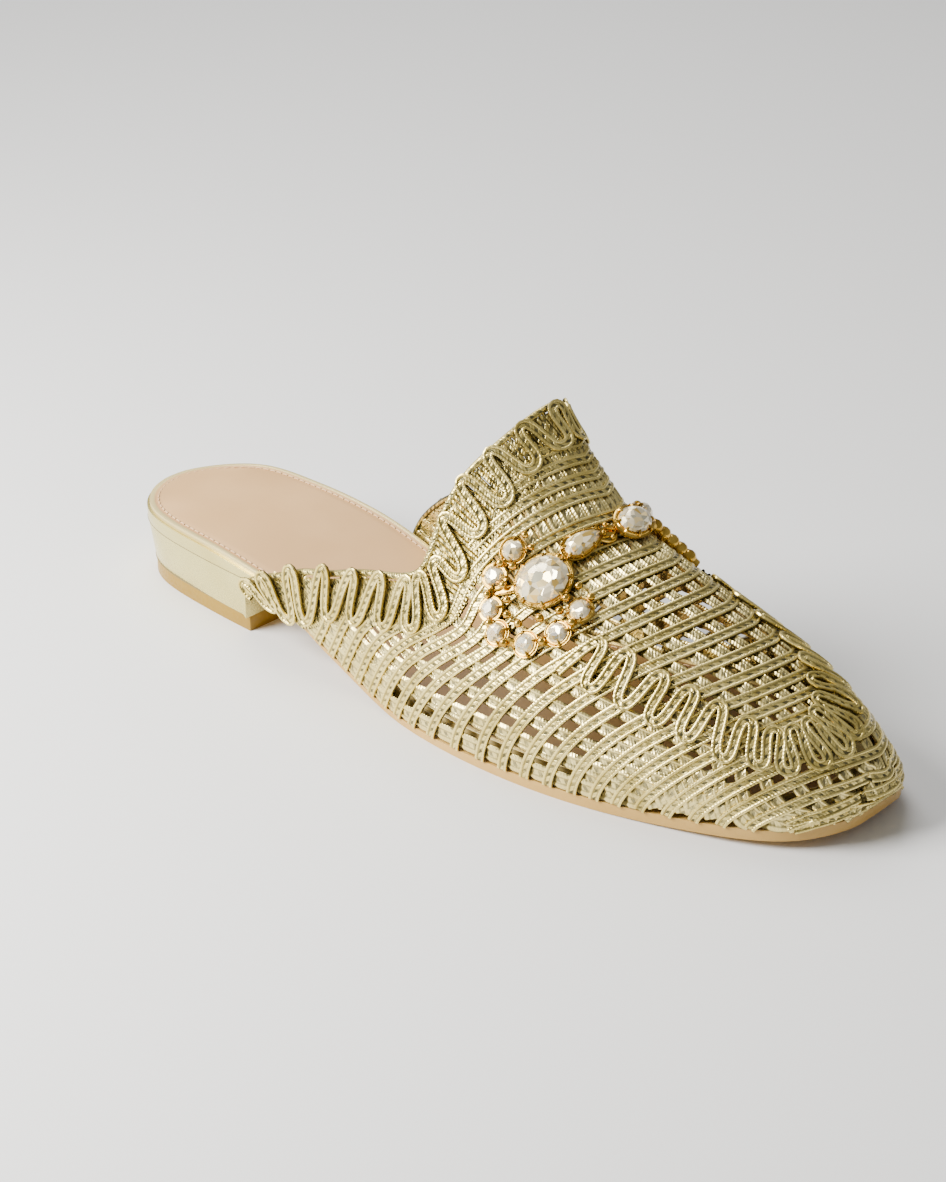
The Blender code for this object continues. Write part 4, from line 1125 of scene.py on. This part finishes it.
def cup(bm, place, long, short, kind, steps, count):
    """A body with the stone's outline. steps are (grow, level) from the bottom up and in again."""
    made = bmesh.new()
    bmesh.ops.create_circle(made, cap_ends=True, radius=1.0, segments=count)
    top = made.faces[:]
    for _ in steps[1:]:
        geom = bmesh.ops.extrude_face_region(made, geom=top)["geom"]
        bmesh.ops.translate(made, verts=[g for g in geom if isinstance(g, bmesh.types.BMVert)],
                            vec=(0.0, 0.0, 1.0))
        top = [g for g in geom if isinstance(g, bmesh.types.BMFace)]
    layer = made.verts.layers.float_vector.new("tape")
    for vert in made.verts:
        grow, rise = steps[round(vert.co.z)]
        # painted shade: the cup is darker towards its foot
        vert[layer] = (0.0, 0.0, 1.1 - rise / steps[-3][1])
        x, y = rim_point(long, short, kind, grow, atan2(vert.co.y, vert.co.x))
        vert.co = put(place, x, y, rise)
    add_to(bm, made)


BIG_CUP = ((0.2, 0.55), (0.7, 0.75), (0.6, 1.2), (1.1, 1.6), (1.15, 2.0), (0.8, 2.2), (0.65, 2.1),
           (0.45, 2.45), (0.1, 2.25), (-0.3, 1.7))
SMALL_CUP = ((0.0, 0.3), (0.5, 0.5), (0.45, 0.8), (0.95, 1.15), (1.0, 1.5), (0.65, 1.7), (0.5, 1.6),
             (0.3, 1.85), (0.0, 1.7), (-0.25, 1.3))
settings = bmesh.new()
for label, place, long, short, height, kind in stones:
    small = kind == "round"
    cup(settings, place, long, short, kind, SMALL_CUP if small else BIG_CUP, 16 if small else 28)
    claws, top = (4, 1.85) if small else (8, 2.45)
    for i in range(claws):
        angle = 2.0 * pi * (i + 0.5) / claws
        claw = [put(place, *rim_point(long, short, kind, grow, angle), z)
                for grow, z in ((0.55, top - 1.2), (0.72, top - 0.5), (0.62, top + 0.1), (0.2, top + 0.42),
                                (-0.45, top + 0.62))]
        side_way = place[3].cross(claw[2] - place[0]).normalized()
        lay(settings, claw, np.tile(side_way, (5, 1)), rod_section(0.3 if small else 0.4))

# %% Beads, horseshoe wires and leaf links
HORSESHOE = ((17.4, 0.375), (17.25, 0.415), (16.95, 0.455), (16.45, 0.495), (15.85, 0.525), (15.3, 0.555),
             (14.75, 0.575), (14.1, 0.58), (13.55, 0.56), (13.25, 0.525), (13.15, 0.475), (13.25, 0.42),
             (13.5, 0.37))
# Beads as band, share and radius.
BEADS = ((17.25, 0.42, 1.15), (16.45, 0.50, 1.15), (15.3, 0.56, 1.2), (14.15, 0.59, 1.2),
         (13.2, 0.525, 1.2), (13.2, 0.42, 1.2), (13.75, 0.315, 1.1), (17.65, 0.325, 1.0),
         (16.85, 0.40, 1.15), (16.4, 0.452, 1.15), (15.75, 0.475, 1.0), (15.15, 0.51, 1.15),
         (14.5, 0.515, 1.15), (14.15, 0.465, 1.2), (13.95, 0.41, 1.15), (14.3, 0.365, 1.1),
         (14.5, 0.31, 1.0), (16.15, 0.285, 1.0), (15.65, 0.275, 0.9), (16.1, 0.125, 0.9),
         (16.4, 0.10, 0.7), (15.75, 0.105, 0.7), (17.1, 0.33, 0.9))
# The strip that joins the settings, and the chain beside them on the inner side.
BRIDGE = ((16.4, 0.49), (16.0, 0.42), (15.55, 0.365), (15.85, 0.28), (16.15, 0.2), (16.05, 0.1),
          (15.95, 0.0))
CHAIN = ((15.7, -0.09), (15.3, -0.165), (14.8, -0.215), (14.25, -0.255), (13.7, -0.285),
         (13.15, -0.31), (12.6, -0.34))


def bead(band, share, radius, rise):
    """A small gold ball, with its centre `rise` mm off the wall."""
    centre = Vector(shell(band, share)[0] + shell_normal(band, share)[0] * rise)
    bmesh.ops.create_icosphere(settings, subdivisions=2, radius=radius, matrix=Matrix.Translation(centre))


for side in (1, -1):
    lay_on_wall(settings, np.array(HORSESHOE) * (1.0, side), rod_section(1.1, 8), 0.75, 1.0)
    for band, share, radius in BEADS:
        bead(band, side * share, radius, 0.9 + radius)
    for bow in (0.45, -0.45, 0.2, -0.2):
        way = np.linspace(0.0, 1.0, 14)
        leaf = np.column_stack([16.2 - 0.2 * way + bow * np.sin(way * pi), side * (0.155 - 0.085 * way)])
        lay_on_wall(settings, leaf, rod_section(0.42), 1.5 - abs(bow), 0.8)
    if side < 0:
        lay_on_wall(settings, CHAIN, rod_section(1.7, 10), 1.5, 1.0)
        for band, share in CHAIN[:-1]:
            bead(band, share, 2.2, 1.8)
    lay_on_wall(settings, np.array(BRIDGE) * (1.0, side), tape_section(2.4, 0.7, 0.7), 0.75, 1.0)
piece("gilt_settings", settings, gold_metal, ["jewel_frame"], 40)


# %% [markdown]
# ### Faceted stones
# A cut stone is a convex body with flat facets. Rings of points are placed for the girdle, the crown
# and the table, and a convex hull finds the facets between them. Each facet gets its own random value
# in an attribute, which picks its painted reflection, because a foil-backed stone shows a different
# reflection in each.

# %% Cut the stones
def cut_stone(bm, place, long, short, height, kind, low):
    """A faceted crystal whose girdle stands at `low`."""
    made = bmesh.new()
    count = 8 if kind == "round" else 10
    # corners, scale, growth, share of the height and turn of each ring
    rings = ((count * 2, 1.0, -0.35, 0.0, 0.0), (count * 2, 1.0, 0.0, 0.22, 0.0),
             (count, 0.80, 0.0, 0.56, 0.5), (count, 0.52, 0.0, 0.78, 0.0))
    for number, scale, grow, share, turn in rings:
        for vert in bmesh.ops.create_circle(made, radius=1.0, segments=number)["verts"]:
            angle = atan2(vert.co.y, vert.co.x) + turn * 2.0 * pi / number
            x, y = rim_point(long * scale, short * scale, kind, grow, angle)
            vert.co = put(place, x, y, low + share * height)
    for edge in made.edges[:]:
        made.edges.remove(edge)
    bmesh.ops.convex_hull(made, input=made.verts[:])
    bmesh.ops.recalc_face_normals(made, faces=made.faces)
    bmesh.ops.dissolve_limit(made, angle_limit=radians(2.0), verts=made.verts, edges=made.edges)
    layer = made.faces.layers.float.new("facet")
    for face in made.faces:
        face[layer] = facet_tone.uniform(0.0, 1.0)
    add_to(bm, made)


facet_tone = np.random.default_rng(11)
crystals = bmesh.new()
for label, place, long, short, height, kind in stones:
    cut_stone(crystals, place, long, short, height, kind, 1.65 if kind == "round" else 2.15)
piece("crystals", crystals, crystal, [label for label, *_ in stones], 0)

# %% [markdown]
# ## Floor, light and camera
# The shoe stands on a plain pale floor. A small soft light close by, on the outer side of the heel,
# picks out the tapes. A wide one stands high behind the heel, and a pale sky fills the shadows. The
# camera looks down at the outer side of the shoe, from in front of the toe.

# %% Floor
ground = bmesh.new()
bmesh.ops.create_grid(ground, x_segments=1, y_segments=1, size=9.0)
floor_mesh = bpy.data.meshes.new("floor")
ground.to_mesh(floor_mesh)
ground.free()
paper = Finish("paper", (0.80, 0.80, 0.79), 0.7)
floor_mesh.materials.append(paper.material)
floor = bpy.data.objects.new("floor", floor_mesh)
bpy.context.scene.collection.objects.link(floor)

# %% Light
world = bpy.data.worlds.new("studio")
bpy.context.scene.world = world
world.use_nodes = True
world.node_tree.nodes["Background"].inputs["Color"].default_value = (1.0, 1.0, 1.0, 1.0)
world.node_tree.nodes["Background"].inputs["Strength"].default_value = 0.3

LIGHTS = (
    # name, place in m, size in m, watts, colour
    ("key", (0.45, -0.31, 0.41), 0.45, 15.5, (1.0, 0.98, 0.95)),
    ("back", (-0.45, -0.75, 1.15), 1.0, 15.0, (1.0, 0.99, 0.98)),
)
for name, place, size, watts, colour in LIGHTS:
    lamp = bpy.data.lights.new(name, "AREA")
    lamp.shape, lamp.size, lamp.energy, lamp.color = "DISK", size, watts, colour
    holder = bpy.data.objects.new(name, lamp)
    holder.location = place
    holder.rotation_euler = (Vector((0.0, 0.0, 0.03)) - Vector(place)).to_track_quat("-Z", "Y").to_euler()
    bpy.context.scene.collection.objects.link(holder)

# %% Camera
EYE = Vector((0.4436, 0.4039, 0.3208))
TARGET = Vector((0.0, -0.004, 0.024))
lens = bpy.data.cameras.new("camera")
lens.sensor_fit = "VERTICAL"
lens.sensor_height = 36.0
lens.lens = 76.0
lens.clip_start, lens.clip_end = 0.01, 50.0
camera = bpy.data.objects.new("camera", lens)
camera.location = EYE
camera.rotation_euler = (TARGET - EYE).to_track_quat("-Z", "Y").to_euler()
bpy.context.scene.collection.objects.link(camera)
bpy.context.scene.camera = camera
